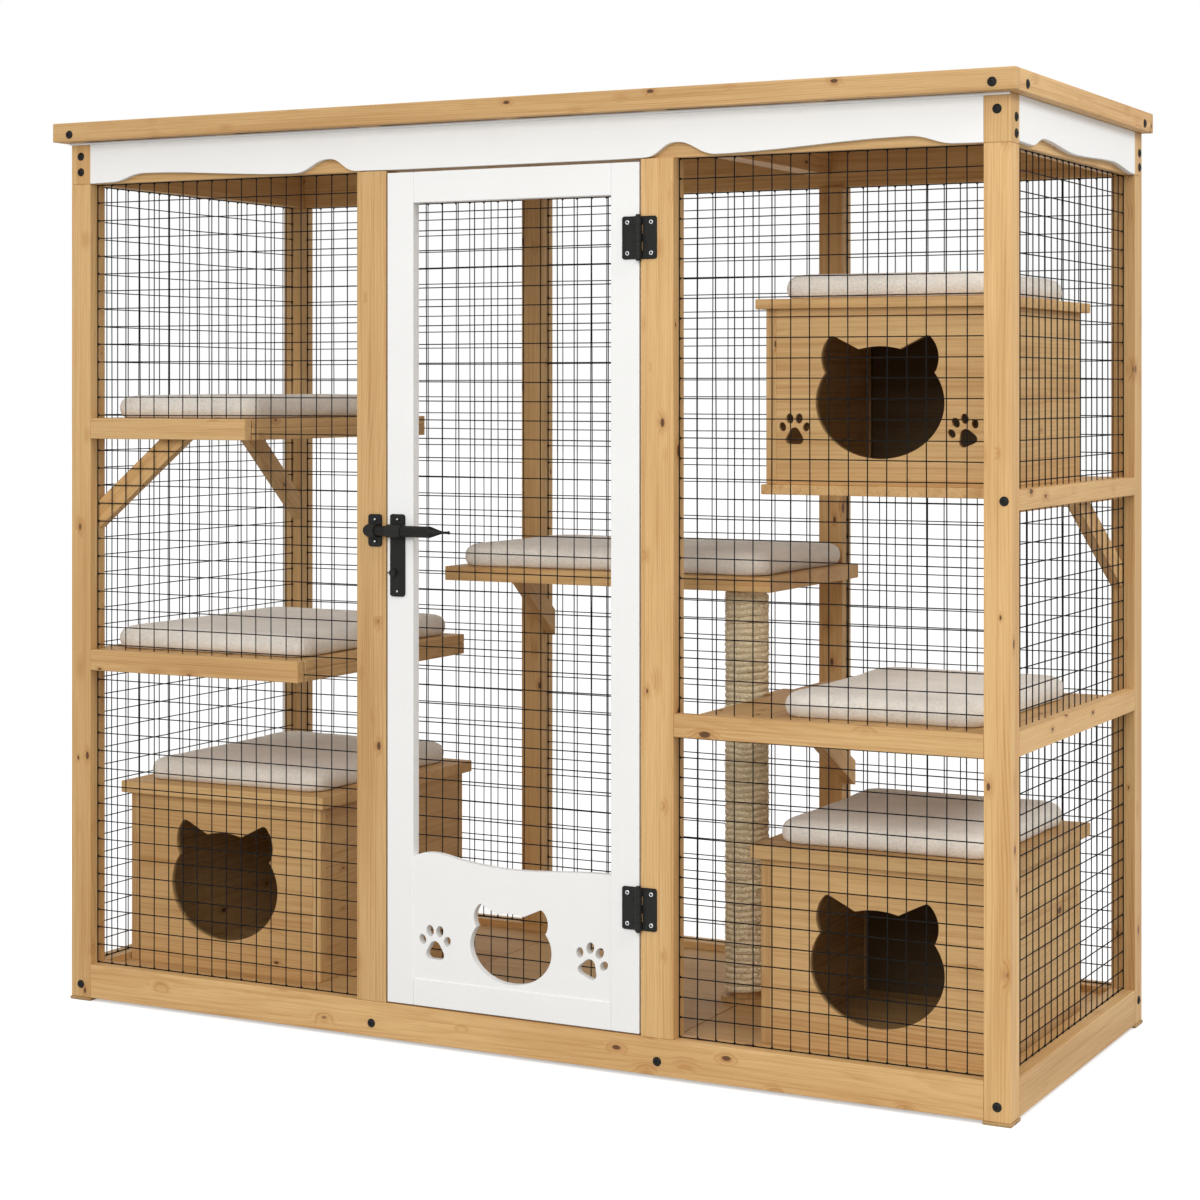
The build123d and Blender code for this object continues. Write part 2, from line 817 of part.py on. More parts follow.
bolt_start = keeper_x[0] - bolt_end_reach
handle_start = latch_plate_x[1] + bolt_clearance
handle_end = handle_start + handle_length
shoulder_end = handle_end + spear_shoulder_length
taper_end = shoulder_end + spear_taper_length
neck_end = taper_end + spear_neck_length
with BuildPart() as latch_bolt:
    with BuildSketch(Plane(origin=(0, bolt_y, latch_z), x_dir=(1, 0, 0), z_dir=(0, -1, 0))):
        with BuildLine():
            Polyline((neck_end + spear_ball_radius, 0), (bolt_start, 0))
            RadiusArc((bolt_start, 0), (bolt_start + bolt_nose, bolt_radius), bolt_radius + bolt_nose)
            Polyline(
                (bolt_start + bolt_nose, bolt_radius), (handle_start, bolt_radius),
                (handle_start, handle_radius), (handle_end, handle_radius),
                (shoulder_end, spear_shoulder_radius),
                (taper_end, spear_neck_radius), (neck_end - spear_ball_radius, spear_neck_radius),
                (neck_end, spear_ball_radius), (neck_end + spear_ball_radius, 0),
            )
        make_face()
    revolve(axis=Axis((0, bolt_y, latch_z), (1, 0, 0)))
save(latch_bolt.part, "latch_bolt")

with BuildPart() as latch_stud:
    stud_plane = front_plane(-latch_plate_thickness)
    stud_place = (latch_plate_x[0] + stud_inset, latch_z - stud_drop)
    with BuildSketch(stud_plane):
        with Locations(stud_place):
            Circle(stud_radius)
    extrude(amount=stud_height)
    cone_y = front_y - latch_plate_thickness - stud_height / 2
    with Locations(Plane(origin=(stud_place[0], cone_y, stud_place[1]), z_dir=(-1, 0, 0))):
        Cone(stud_cone_radius, 0, stud_cone_length, align=(Align.CENTER, Align.CENTER, Align.MIN))
save_group([latch_plate, latch_stud.part], "latch_plate")

with BuildPart() as door_screws:
    add_screws(door_screw_places, hinge_leaf_thickness)
    add_screws(latch_screw_places, latch_plate_thickness)
save(door_screws.part, "door_screws")

with BuildPart() as post_screws:
    add_screws(post_screw_places, hinge_leaf_thickness)
    add_screws(keeper_screw_places, latch_plate_thickness)
save(post_screws.part, "post_screws")

# Shelves: a board on a frame of arms, hung on a cleat that runs between the side posts
left_cleat = (-side_mesh[0], -inner_x)
right_cleat = (inner_x, side_mesh[0])


def framed_shelf(x, back, top, cleat, front_arm=None):
    """The loose pieces of a shelf between its free end and the inner face of the side posts."""
    board_z = (top - shelf_thickness, top)
    arm_z = (board_z[0] - arm_height, board_z[0])
    front_arm_d = (behind_mesh, behind_mesh + arm_width)
    back_arm_d = (back - arm_width, back)
    end = (x[0], x[0] + arm_width) if cleat[0] > 0 else (x[1] - arm_width, x[1])
    return [
        notched_board([(x, (behind_mesh, back)), (cleat, (post_size, back))], board_z),
        board(front_arm or x, front_arm_d, arm_z),
        board(x, back_arm_d, arm_z),
        board(end, (front_arm_d[1], back_arm_d[0]), arm_z),
        board(cleat, side_bay, arm_z),
    ]


left_upper_x = (-inner_x, left_upper_shelf_length - inner_x)
left_lower_x = (-inner_x, left_lower_shelf_length - inner_x)
right_middle_x = (back_right[1] + brace_thickness, inner_x)
save_group(
    framed_shelf(left_upper_x, left_upper_shelf_back, left_upper_shelf_top, left_cleat),
    "left_upper_shelf",
)
save_group(
    framed_shelf(left_lower_x, left_lower_shelf_back, left_lower_shelf_top, left_cleat),
    "left_lower_shelf",
)
save_group(
    framed_shelf(
        right_middle_x, right_middle_shelf_back, right_middle_shelf_top, right_cleat,
        front_arm=(mid_right[1], inner_x),
    ),
    "right_middle_shelf",
)

centre_shelf_x = (back_left[1] + brace_thickness, back_right[1] + centre_shelf_right_lap)
centre_shelf_z = (centre_shelf_top - centre_shelf_thickness, centre_shelf_top)
with BuildPart() as centre_shelf:
    fill(centre_shelf_x, (centre_shelf_front, back_face), centre_shelf_z)
save(centre_shelf.part, "centre_shelf")

right_upper_x = (inner_x + span(right_cleat) - right_upper_shelf_length, inner_x)
upper_board_z = (right_upper_shelf_top - shelf_thickness, right_upper_shelf_top)
upper_cleat_z = (upper_board_z[0] - arm_height, upper_board_z[0])
save_group(
    [
        notched_board(
            [
                (right_upper_x, (right_upper_shelf_front, back_mesh[0])),
                (right_cleat, (right_upper_shelf_front, back_face)),
            ],
            upper_board_z,
        ),
        board(right_cleat, side_bay, upper_cleat_z),
        board((back_right[1], inner_x), (back_face, back_mesh[0]), upper_cleat_z),
    ],
    "right_upper_shelf",
)

# Rails outside the mesh, screwed through it to the shelves
outer_rail = (side_mesh[1], half_width)
front_rail = (0, front_mesh[0])
middle_rail_z = (right_middle_shelf_top - middle_rail_height, right_middle_shelf_top)
left_rail_height = shelf_thickness + arm_height
with BuildPart() as shelf_rails:
    fill(left_upper_x, front_rail, (left_upper_shelf_top - left_rail_height, left_upper_shelf_top))
    fill(left_lower_x, front_rail, (left_lower_shelf_top - left_rail_height, left_lower_shelf_top))
    fill((mid_right[1], inner_x), front_rail, middle_rail_z)
    fill(outer_rail, side_bay, middle_rail_z)
    fill(outer_rail, side_bay, (right_upper_shelf_top - upper_rail_height, right_upper_shelf_top))
    drill_frame()
save(shelf_rails.part, "shelf_rails")


# Braces
def brace(plane, wall, under, reach, rise):
    """A diagonal from an upright face at wall to a level face at under."""
    slope = math.atan2(rise, abs(reach))
    way = math.copysign(1, reach)
    foot = (wall, under - rise)
    foot_top = (wall, under - rise + brace_width / math.cos(slope))
    head_inner = (wall + reach - way * brace_width / math.sin(slope), under)
    head_outer = (wall + reach, under)
    with BuildPart() as diagonal:
        with BuildSketch(plane):
            with BuildLine():
                Polyline(foot, foot_top, head_inner, head_outer, foot)
            make_face()
        extrude(amount=brace_thickness)
    return diagonal.part


arm_bottom = left_upper_shelf_top - shelf_thickness - arm_height
wall_y = front_y + back_face
lap_y = wall_y + brace_lap
front_brace_plane = front_plane(behind_mesh + brace_thickness)
save(brace(front_brace_plane, -inner_x, arm_bottom, front_brace_reach, front_brace_rise), "front_brace")
save_group(
    [
        brace(side_plane(-side_mesh[0]), wall_y, arm_bottom, -left_brace_reach, left_brace_rise),
        brace(
            side_plane(side_mesh[0] - brace_thickness), wall_y, upper_cleat_z[0],
            -right_brace_reach, right_brace_rise,
        ),
        brace(
            side_plane(back_right[1]), lap_y, right_middle_shelf_top,
            -middle_brace_reach - brace_lap, middle_brace_rise,
        ),
        brace(
            side_plane(back_left[1]), lap_y, centre_shelf_top,
            -centre_brace_reach - brace_lap, centre_brace_rise,
        ),
    ],
    "side_braces",
)


# Houses: four corner battens with boards between them, a cut front and a lid
def house_front(x, d, z, holes):
    """The front board, with its cut-outs."""
    front_x = inset(x, corner_batten, corner_batten)
    with BuildSketch() as outline:
        with Locations((middle(front_x), middle(z))):
            Rectangle(span(front_x), span(z))
    return panel_with_holes(outline.sketch, holes, d[0], house_board)


def house_walls(x, d, z):
    """The loose battens, side boards and back board."""
    ends_x = ((x[0], x[0] + corner_batten), (x[1] - corner_batten, x[1]))
    ends_d = ((d[0], d[0] + corner_batten), (d[1] - corner_batten, d[1]))
    pieces = [board(end_x, end_d, z) for end_x in ends_x for end_d in ends_d]
    between_d = inset(d, corner_batten, corner_batten)
    pieces += [board(side, between_d, z) for side in ((x[0], x[0] + house_board), (x[1] - house_board, x[1]))]
    pieces += [board(inset(x, corner_batten, corner_batten), (d[1] - house_board, d[1]), z)]
    return pieces


def house_lid(x, d, z):
    """A lid that stands out all round."""
    return board(inset(x, -lid_overhang, -lid_overhang), inset(d, -lid_overhang, -lid_overhang), z)


left_house_x = (left_house_gap - inner_x, left_house_gap - inner_x + left_house_width)
left_house_d = (left_house_front, left_house_front + left_house_depth)
left_house_z = (floor_top, floor_top + left_house_height)
right_house_d = (right_house_front, right_house_front + right_house_depth)
lower_house_x = (inner_x - right_house_gap - lower_house_width, inner_x - right_house_gap)
lower_house_z = (floor_top, floor_top + lower_house_height)
upper_house_x = (inner_x - right_house_gap - upper_house_width, inner_x - right_house_gap)
upper_house_z = (right_upper_shelf_top, right_upper_shelf_top + upper_house_height)
paw_edge = corner_batten + house_paw_edge_gap + house_paw_width / 2
upper_head = cat_head(upper_hole_width, upper_hole_height)
upper_holes = [(upper_head, middle(upper_house_x), upper_house_z[0] + upper_hole_lift)]
upper_holes += [
    (paw(house_paw_width, turn), x, upper_house_z[0] + house_paw_lift)
    for x, turn in zip(inset(upper_house_x, paw_edge, paw_edge), (0.0, -door_paw_turn))
]
houses = {
    "left_house": (
        left_house_x, left_house_d, left_house_z, left_lid_thickness,
        [(cat_head(left_hole_width, left_hole_height), middle(left_house_x), floor_top + left_hole_lift)],
    ),
    "lower_house": (
        lower_house_x, right_house_d, lower_house_z, lower_lid_thickness,
        [(cat_head(lower_hole_width, lower_hole_height), middle(lower_house_x), floor_top + lower_hole_lift)],
    ),
    "upper_house": (upper_house_x, right_house_d, upper_house_z, upper_lid_thickness, upper_holes),
}
for name, (x, d, z, lid_thickness, holes) in houses.items():
    save(house_front(x, d, z, holes), f"{name}_front")
    save_group(house_walls(x, d, z), f"{name}_walls")
    save(house_lid(x, d, (z[1], z[1] + lid_thickness)), f"{name}_lid")


# Cushions
def cushion(x, d, z):
    """A soft pad with drawn-in sides and a crown, standing on z."""
    with BuildPart() as pad:
        for up, drawn in cushion_section_shares:
            with BuildSketch(Plane.XY.offset(z + up * cushion_height)):
                with Locations((middle(x), front_y + middle(d))):
                    RectangleRounded(
                        span(x) - 2 * drawn * cushion_height, span(d) - 2 * drawn * cushion_height,
                        cushion_corner,
                    )
        loft(ruled=True)
    return pad.part


def on_board(x, d):
    """The place of a cushion on a board, with an even margin."""
    return (inset(x, cushion_margin, cushion_margin), inset(d, cushion_margin, cushion_margin))


cushions = {
    "left_upper_cushion": (
        *on_board(left_upper_x, (behind_mesh, left_upper_shelf_back)), left_upper_shelf_top,
    ),
    "left_lower_cushion": (
        *on_board(left_lower_x, (behind_mesh, left_lower_shelf_back)), left_lower_shelf_top,
    ),
    "left_house_cushion": (*on_board(left_house_x, left_house_d), left_house_z[1] + left_lid_thickness),
    "centre_cushion": (*on_board(centre_shelf_x, (centre_shelf_front, back_face)), centre_shelf_top),
    "right_middle_cushion": (
        inset(right_middle_x, middle_cushion_left_margin, cushion_margin),
        inset((behind_mesh, right_middle_shelf_back), cushion_margin, middle_cushion_back_margin),
        right_middle_shelf_top,
    ),
    "lower_house_cushion": (*on_board(lower_house_x, right_house_d), lower_house_z[1] + lower_lid_thickness),
    "upper_house_cushion": (*on_board(upper_house_x, right_house_d), upper_house_z[1] + upper_lid_thickness),
}
for label, (x, d, z) in cushions.items():
    save(cushion(x, d, z), label)

# Scratching post: a core with a foot flange, wound with one rope
rope_x = middle(mid_right)
rope_y = front_y + rope_post_depth
wind_radius = rope_post_radius - rope_radius
core_radius = wind_radius - rope_radius - rope_clearance
with BuildPart() as scratching_post:
    with Locations((rope_x, rope_y, floor_top)):
        Cylinder(core_radius, centre_shelf_z[0] - floor_top, align=(Align.CENTER, Align.CENTER, Align.MIN))
        Cylinder(post_flange_radius, post_flange_height, align=(Align.CENTER, Align.CENTER, Align.MIN))
save(scratching_post.part, "scratching_post")

wind_low = floor_top + post_flange_height + rope_end_gap + rope_radius
wind_high = centre_shelf_z[0] - rope_end_gap - rope_radius
rope_pitch = (wind_high - wind_low) / rope_loops
climb = rope_pitch / (2 * math.pi)


def wind_point(turns):
    """A point on the winding after some turns."""
    angle = 2 * math.pi * turns
    height = wind_low + turns * rope_pitch
    return Vector(rope_x + wind_radius * math.cos(angle), rope_y + wind_radius * math.sin(angle), height)


def wind_tangent(turns):
    """The direction of the winding there."""
    angle = 2 * math.pi * turns
    return Vector(-wind_radius * math.sin(angle), wind_radius * math.cos(angle), climb).normalized()


def quarter_biarc(start, end):
    """Two arcs that carry the winding over a quarter turn, each leaving along the one before it."""
    first, last = wind_point(start), wind_point(end)
    first_way, last_way = wind_tangent(start), wind_tangent(end)
    chord = last - first
    ways = first_way + last_way
    square = 2 * (1 - first_way.dot(last_way))
    reach = (math.sqrt(chord.dot(ways) ** 2 + square * chord.dot(chord)) - chord.dot(ways)) / square
    first_corner = first + first_way * reach
    last_corner = last - last_way * reach
    join = (first_corner + last_corner) / 2
    TangentArc(first, join, tangent=first_way)
    TangentArc(join, last, tangent=last_corner - first_corner)


quarters = 4
with BuildPart() as sisal_rope:
    with BuildLine() as rope_path:
        low_end = wind_point(0) - wind_tangent(0) * rope_radius * 2
        Line(low_end, wind_point(0))
        for i in range(rope_loops * quarters):
            quarter_biarc(i / quarters, (i + 1) / quarters)
        Line(wind_point(rope_loops), wind_point(rope_loops) + wind_tangent(rope_loops) * rope_radius * 2)
    with BuildSketch(Plane(origin=low_end, z_dir=wind_tangent(0))):
        Circle(rope_radius)
    sweep()
save(sisal_rope.part, "sisal_rope")

points_per_loop = 48
rope_points = [wind_point(i / points_per_loop) for i in range(rope_loops * points_per_loop + 1)]
next_turn = [
    (rope_points[i] - rope_points[j]).length
    for i in range(points_per_loop)
    for j in range(i + points_per_loop // 2, min(i + 2 * points_per_loop, len(rope_points)))
]
print(f"least gap of the rope to itself: {min(next_turn) - 2 * rope_radius:.1f} mm")
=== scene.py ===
import json
import math
import random

import bmesh
import bpy
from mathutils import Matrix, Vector, noise


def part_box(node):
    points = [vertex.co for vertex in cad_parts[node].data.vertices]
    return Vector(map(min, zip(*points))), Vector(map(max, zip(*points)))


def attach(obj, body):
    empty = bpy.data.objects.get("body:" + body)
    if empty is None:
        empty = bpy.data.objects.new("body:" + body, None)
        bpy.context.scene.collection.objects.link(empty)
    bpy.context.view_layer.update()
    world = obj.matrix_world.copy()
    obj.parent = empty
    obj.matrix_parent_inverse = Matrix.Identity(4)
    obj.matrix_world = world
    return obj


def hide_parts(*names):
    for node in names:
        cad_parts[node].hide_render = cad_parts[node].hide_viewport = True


bl_info = {
    "name": "Cat Enclosure",
    "version": (1, 0, 0),
    "blender": (4, 5, 0),
    "location": "3D View > Sidebar > Cat Enclosure",
    "description": "Dresses a pine cat enclosure with wood, wire, plush, sisal and black hardware",
    "category": "Object",
}

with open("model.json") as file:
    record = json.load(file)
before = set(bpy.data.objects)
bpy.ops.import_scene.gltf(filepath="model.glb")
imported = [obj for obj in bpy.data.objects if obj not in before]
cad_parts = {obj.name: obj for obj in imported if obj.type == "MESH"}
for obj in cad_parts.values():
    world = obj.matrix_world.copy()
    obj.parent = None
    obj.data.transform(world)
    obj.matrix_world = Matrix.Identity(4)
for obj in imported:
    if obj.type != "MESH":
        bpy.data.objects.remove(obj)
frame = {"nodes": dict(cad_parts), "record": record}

# Metres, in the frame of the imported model: +Z up, the door's side faces -Y
BOARD_NODES = (
    "foot_pads", "corner_posts", "corner_blocks", "door_posts", "back_posts", "long_base_rails",
    "side_base_rails", "long_top_rails", "side_top_rails", "roof_joists", "floor_bearers",
    "long_roof_edges", "side_roof_edges", "shelf_rails",
)
SHELF_NODES = (
    "left_upper_shelf", "left_lower_shelf", "centre_shelf", "right_middle_shelf", "right_upper_shelf",
    "front_brace", "side_braces",
)
HOUSES = ("left_house", "lower_house", "upper_house")
CUSHIONS = (
    "left_upper_cushion", "left_lower_cushion", "left_house_cushion", "centre_cushion",
    "right_middle_cushion", "lower_house_cushion", "upper_house_cushion",
)
CABIN_BODY = "cabin"
# Each lamp's name, place, target, side in metres and power in watts
LAMPS = (
    ("Key", (1.2, -6.2, 3.5), (0, 0, 0.8), 3.0, 165),
    ("Right", (5.0, -1.0, 4.4), (1.0, 0, 0.8), 2.0, 115),
)
# Strength of the world's light on the object, and of the white that the camera sees
SOFT_LIGHT = 0.80
WHITE = 1.0
# What kinds of ray see the white background
SEEN_RAYS = ("Is Camera Ray", "Is Glossy Ray", "Is Transmission Ray")
# Side of the photo's frame in pixels
IMAGE_SIDE = 1200
# Decimals of a metre that tell one corner from the next
PLACES_KEPT = 5
# Edges that bend more than this, in degrees, are rounded
SHARP_ANGLE = 40
# How much darker or lighter one board is than the next
BOARD_TONES = (0.90, 1.08)
# Where a board was cut: along the trunk, beside its pith and above it
TRUNK_CUT = ((0, 9), (0.05, 0.16), (0.02, 0.12))
# Painted shade: the share of their tone that the boards keep inside a house's room
ROOM_PAINTED_SHADE = 0.2
# Screws this near the latch bolt's height have black heads
LATCH_REACH = 0.15
# Sides of a scratching post's rope, its points in one turn and its loose fibres
ROPE_SIDES = 12
ROPE_POINTS = 32
ROPE_FIBRES = 2600
# Last frame of the cushions' filling
FILLED_FRAME = 20


# Settings that a user would change
class WoodSettings(bpy.types.PropertyGroup):
    """Colours and edges of the boards."""

    light: bpy.props.FloatVectorProperty(
        name="Light Wood", description="Colour of the wood between its grain lines",
        default=(0.70, 0.455, 0.205), subtype="COLOR", min=0, max=1,
    )
    line: bpy.props.FloatVectorProperty(
        name="Grain Lines", description="Colour of the wood's grain lines",
        default=(0.47, 0.25, 0.085), subtype="COLOR", min=0, max=1,
    )
    streak: bpy.props.FloatVectorProperty(
        name="Warm Streaks", description="Colour of the resin streaks and of the wood round a knot",
        default=(0.42, 0.185, 0.05), subtype="COLOR", min=0, max=1,
    )
    knot: bpy.props.FloatVectorProperty(
        name="Knots", description="Colour at the heart of a knot",
        default=(0.10, 0.042, 0.015), subtype="COLOR", min=0, max=1,
    )
    paint: bpy.props.FloatVectorProperty(
        name="White Paint", description="Colour of the door and the valances",
        default=(0.87, 0.865, 0.845), subtype="COLOR", min=0, max=1,
    )
    edge: bpy.props.FloatProperty(
        name="Edge Radius", description="Rounding of the boards' edges",
        default=0.0016, min=0, unit="LENGTH",
    )


class WireSettings(bpy.types.PropertyGroup):
    """Sizes of the welded mesh."""

    pitch: bpy.props.FloatProperty(
        name="Mesh Pitch", description="Distance from one wire to the next", default=0.036,
        min=0.01, unit="LENGTH",
    )
    diameter: bpy.props.FloatProperty(
        name="Wire Diameter", description="Thickness of the wire with its coat", default=0.0023,
        min=0.0005, unit="LENGTH",
    )
    colour: bpy.props.FloatVectorProperty(
        name="Wire Coat", description="Colour of the coated wire", default=(0.006, 0.006, 0.006),
        subtype="COLOR", min=0, max=1,
    )


class SoftSettings(bpy.types.PropertyGroup):
    """The cushions and the sisal rope."""

    plush: bpy.props.FloatVectorProperty(
        name="Plush", description="Colour of the cushions", default=(0.92, 0.855, 0.76),
        subtype="COLOR", min=0, max=1,
    )
    puff: bpy.props.FloatProperty(
        name="Puff", description="How far the filling may push a cushion's cover out",
        default=0.005, min=0, unit="LENGTH",
    )
    sisal: bpy.props.FloatVectorProperty(
        name="Sisal", description="Colour of the rope", default=(1.0, 0.81, 0.55),
        subtype="COLOR", min=0, max=1,
    )
    rope_turns: bpy.props.IntProperty(
        name="Rope Turns", description="Turns of rope on the scratching post", default=64, min=8,
    )


class HardwareSettings(bpy.types.PropertyGroup):
    """The black hardware."""

    steel: bpy.props.FloatVectorProperty(
        name="Black Steel", description="Colour of the hinges, the latch and the bolts",
        default=(0.006, 0.006, 0.0055), subtype="COLOR", min=0, max=1,
    )
    edge: bpy.props.FloatProperty(
        name="Metal Edge Radius", description="Rounding of the hardware's edges",
        default=0.0006, min=0, unit="LENGTH",
    )


# Shader graph
class Value:
    """One output of a shader node. Arithmetic on it adds the Math nodes that work it out."""

    def __init__(self, finish, socket):
        self.finish = finish
        self.socket = socket

    def math(self, operation, *values, clamp=False):
        """Adds one Math node."""
        return self.finish.node("ShaderNodeMath", {"operation": operation, "use_clamp": clamp}, values)

    def __add__(self, other):
        return self.math("ADD", self, other)

    def __radd__(self, other):
        return self.math("ADD", other, self)

    def __sub__(self, other):
        return self.math("SUBTRACT", self, other)

    def __rsub__(self, other):
        return self.math("SUBTRACT", other, self)

    def __mul__(self, other):
        return self.math("MULTIPLY", self, other)

    def __rmul__(self, other):
        return self.math("MULTIPLY", other, self)

    def __truediv__(self, other):
        return self.math("DIVIDE", self, other)

    def fraction(self):
        """What is left after its whole number."""
        return self.math("FRACT", self)

    def size(self):
        """Its distance from 0."""
        return self.math("ABSOLUTE", self)

    def root(self):
        """Its square root."""
        return self.math("SQRT", self)

    def larger(self, other):
        """The larger of two values."""
        return self.math("MAXIMUM", self, other)

    def clamped(self):
        """Held between 0 and 1."""
        return self.math("ADD", self, 0.0, clamp=True)

    def step(self, low, high):
        """0 below low, 1 above high and smooth between them."""
        return self.finish.node(
            "ShaderNodeMapRange", {"interpolation_type": "SMOOTHSTEP"},
            {"Value": self, "From Min": low, "From Max": high}, out="Result",
        )


class Finish:
    """A material with one Principled surface, whose fixed values stand on its own sockets."""

    def __init__(self, name, **fixed):
        self.material = bpy.data.materials.new(name)
        self.material.use_nodes = True
        self.tree = self.material.node_tree
        self.tree.nodes.clear()
        self.surface = self.tree.nodes.new("ShaderNodeBsdfPrincipled")
        output = self.tree.nodes.new("ShaderNodeOutputMaterial")
        self.tree.links.new(self.surface.outputs["BSDF"], output.inputs["Surface"])
        for socket, value in fixed.items():
            self.set(self.surface.inputs[socket.replace("_", " ")], value)

    def set(self, socket, value):
        """Links a Value to a socket, or writes a number or colour on it."""
        if isinstance(value, Value):
            self.tree.links.new(value.socket, socket)
        elif socket.type == "RGBA" and len(value) == 3:
            socket.default_value = (*value, 1)
        else:
            socket.default_value = value

    def node(self, kind, settings=None, values=(), out=0):
        """Adds a node with its settings, then the values or links of its sockets, and returns an output."""
        made = self.tree.nodes.new(kind)
        for name, value in (settings or {}).items():
            setattr(made, name, value)
        pairs = values.items() if isinstance(values, dict) else enumerate(values)
        for key, value in pairs:
            self.set(made.inputs[key], value)
        return Value(self, made.outputs[out])

    def attribute(self, name, out="Fac"):
        """A value that the mesh carries at each of its corners."""
        return self.node("ShaderNodeAttribute", {"attribute_name": name}, out=out)

    def place(self):
        """Where a point of the surface is, in metres."""
        return self.node("ShaderNodeTexCoord", {}, (), out="Object")

    def stretch(self, vector, factors):
        """A vector with each of its parts multiplied."""
        return self.node("ShaderNodeVectorMath", {"operation": "MULTIPLY"}, (vector, factors), out="Vector")

    def split(self, vector, part, kind="ShaderNodeSeparateXYZ"):
        """One part of a vector or a colour."""
        return self.node(kind, {}, (vector,), out=part)

    def join(self, x, y, z):
        """A vector from its parts."""
        return self.node("ShaderNodeCombineXYZ", {}, (x, y, z), out="Vector")

    def cloud(self, vector, scale, detail=2.0, roughness=0.5):
        """Soft noise from 0 to 1."""
        values = {"Vector": vector, "Scale": scale, "Detail": detail, "Roughness": roughness}
        return self.node("ShaderNodeTexNoise", {}, values, out="Fac")

    def drawn(self, vector, factors, detail=2.0, roughness=0.5):
        """Soft noise drawn out along an axis, with its own fineness along each."""
        return self.cloud(self.stretch(vector, factors), 1.0, detail, roughness)

    def mix(self, factor, first, second, blend="MIX"):
        """A colour between two colours."""
        settings = {"data_type": "RGBA", "blend_type": blend}
        return self.node("ShaderNodeMix", settings, {0: factor, 6: first, 7: second}, out=2)

    def bump(self, height, distance, strength=1.0):
        """A normal bent by a height from 0 to 1."""
        values = {"Height": height, "Distance": distance, "Strength": strength}
        return self.node("ShaderNodeBump", {}, values, out="Normal")

    def wear(self, **changing):
        """Links what changes over the surface."""
        for socket, value in changing.items():
            self.set(self.surface.inputs[socket.replace("_", " ")], value)
        return self.material


def scaled(colour, factor):
    """A colour made lighter or darker."""
    return tuple(min(1, part * factor) for part in colour)


def shades(colours, factor):
    """Colours made lighter or darker together."""
    return [scaled(colour, factor) for colour in colours]


def knot_field(finish, place, share):
    """The heart and the halo of knots, long along the board."""
    cells = {"voronoi_dimensions": "3D", "feature": "F1"}
    values = {"Vector": place, "Scale": 25.0}
    distance = finish.node("ShaderNodeTexVoronoi", cells, values, out="Distance")
    cell = finish.node("ShaderNodeTexVoronoi", cells, values, out="Color")
    chance = finish.split(cell, "Red", "ShaderNodeSeparateColor")
    size = finish.split(cell, "Green", "ShaderNodeSeparateColor") * 0.7 + 0.3
    there = chance.step(1 - share, 1.01 - share)
    heart = (1 - distance.step(size * 0.13, size * 0.19)) * there
    halo = (1 - distance.step(size * 0.12, size * 0.55)) * there
    return heart, halo


def wood(name, light, line, streak, knot, ring=0.0034, knots=0.5, roughness=0.5, figure=0.65):
    """Pine with rings about a pith beside the board, fibres along it, warm streaks and knots."""
    finish = Finish(name, Specular_IOR_Level=0.3)
    grain = finish.attribute("grain", out="Vector")
    tone = finish.attribute("tone")
    along, across, deep = (finish.split(grain, axis) for axis in "XYZ")
    heart, halo = knot_field(finish, finish.join(along * 0.5, across, deep), knots)
    drift = finish.drawn(grain, (0.8, 4.0, 4.0), 1.0) - 0.5
    wander = finish.drawn(grain, (4.0, 60.0, 60.0), 2.0) - 0.5
    wide = across + drift * 0.045 + halo * 0.005
    thick = deep + drift * 0.030 + halo * 0.003
    year = ((wide * wide + thick * thick).root() / ring + wander * 1.6).fraction()
    late = year.step(0.30, 0.92) * (1 - year.step(0.92, 1.0))
    blotch = finish.drawn(grain, (1.5, 14.0, 14.0), 3.0)
    fibre = finish.drawn(grain, (9.0, 480.0, 480.0), 5.0, 0.7)
    pores = finish.drawn(grain, (26.0, 1500.0, 1500.0), 2.0, 0.6)
    warm = finish.drawn(grain, (1.0, 44.0, 44.0), 3.0, 0.55).step(0.50, 0.70)
    streaks = finish.drawn(grain, (1.8, 190.0, 190.0), 3.0, 0.6).step(0.50, 0.70)
    lines = late * (0.15 + 0.85 * blotch) * figure * 0.75 + (fibre - 0.5) * 1.7 + (pores - 0.5) * 0.5
    colour = finish.mix((lines + 0.06).clamped(), light, line)
    colour = finish.mix(blotch.step(0.40, 0.72) * 0.44, colour, line)
    colour = finish.mix(streaks * (0.25 + 0.6 * blotch), colour, line)
    colour = finish.mix(warm * (0.3 + 0.5 * late) * figure, colour, streak)
    colour = finish.mix(halo * (0.35 + 0.4 * late), colour, streak)
    colour = finish.mix(heart * 0.95, colour, knot)
    # The tone attribute holds each board's random tone, and painted shade on the faces inside a house's room
    shade = finish.join(tone, tone * 0.985, tone * 0.96)
    colour = finish.mix(1.0, colour, shade, blend="MULTIPLY")
    height = late * 0.3 + fibre * 0.6 + pores * 0.25 - heart * 0.3
    return finish.wear(
        Base_Color=colour,
        Roughness=roughness + fibre * 0.18 - late * 0.06,
        Normal=finish.bump(height, 0.0006, 0.5),
    )


def painted_wood(name, paint):
    """White paint over wood, with a trace of grain and a faint mottle."""
    finish = Finish(name, Specular_IOR_Level=0.4)
    grain = finish.attribute("grain", out="Vector")
    fibre = finish.drawn(grain, (6.0, 420.0, 420.0), 3.0, 0.6)
    cloud = finish.cloud(grain, 9.0, 3.0)
    mottle = cloud * 0.6 + fibre * 0.4
    colour = finish.mix(mottle, scaled(paint, 0.955), scaled(paint, 1.03))
    return finish.wear(
        Base_Color=colour,
        Roughness=0.40 + cloud * 0.16,
        Normal=finish.bump(fibre + cloud * 0.6, 0.0004, 0.5),
    )


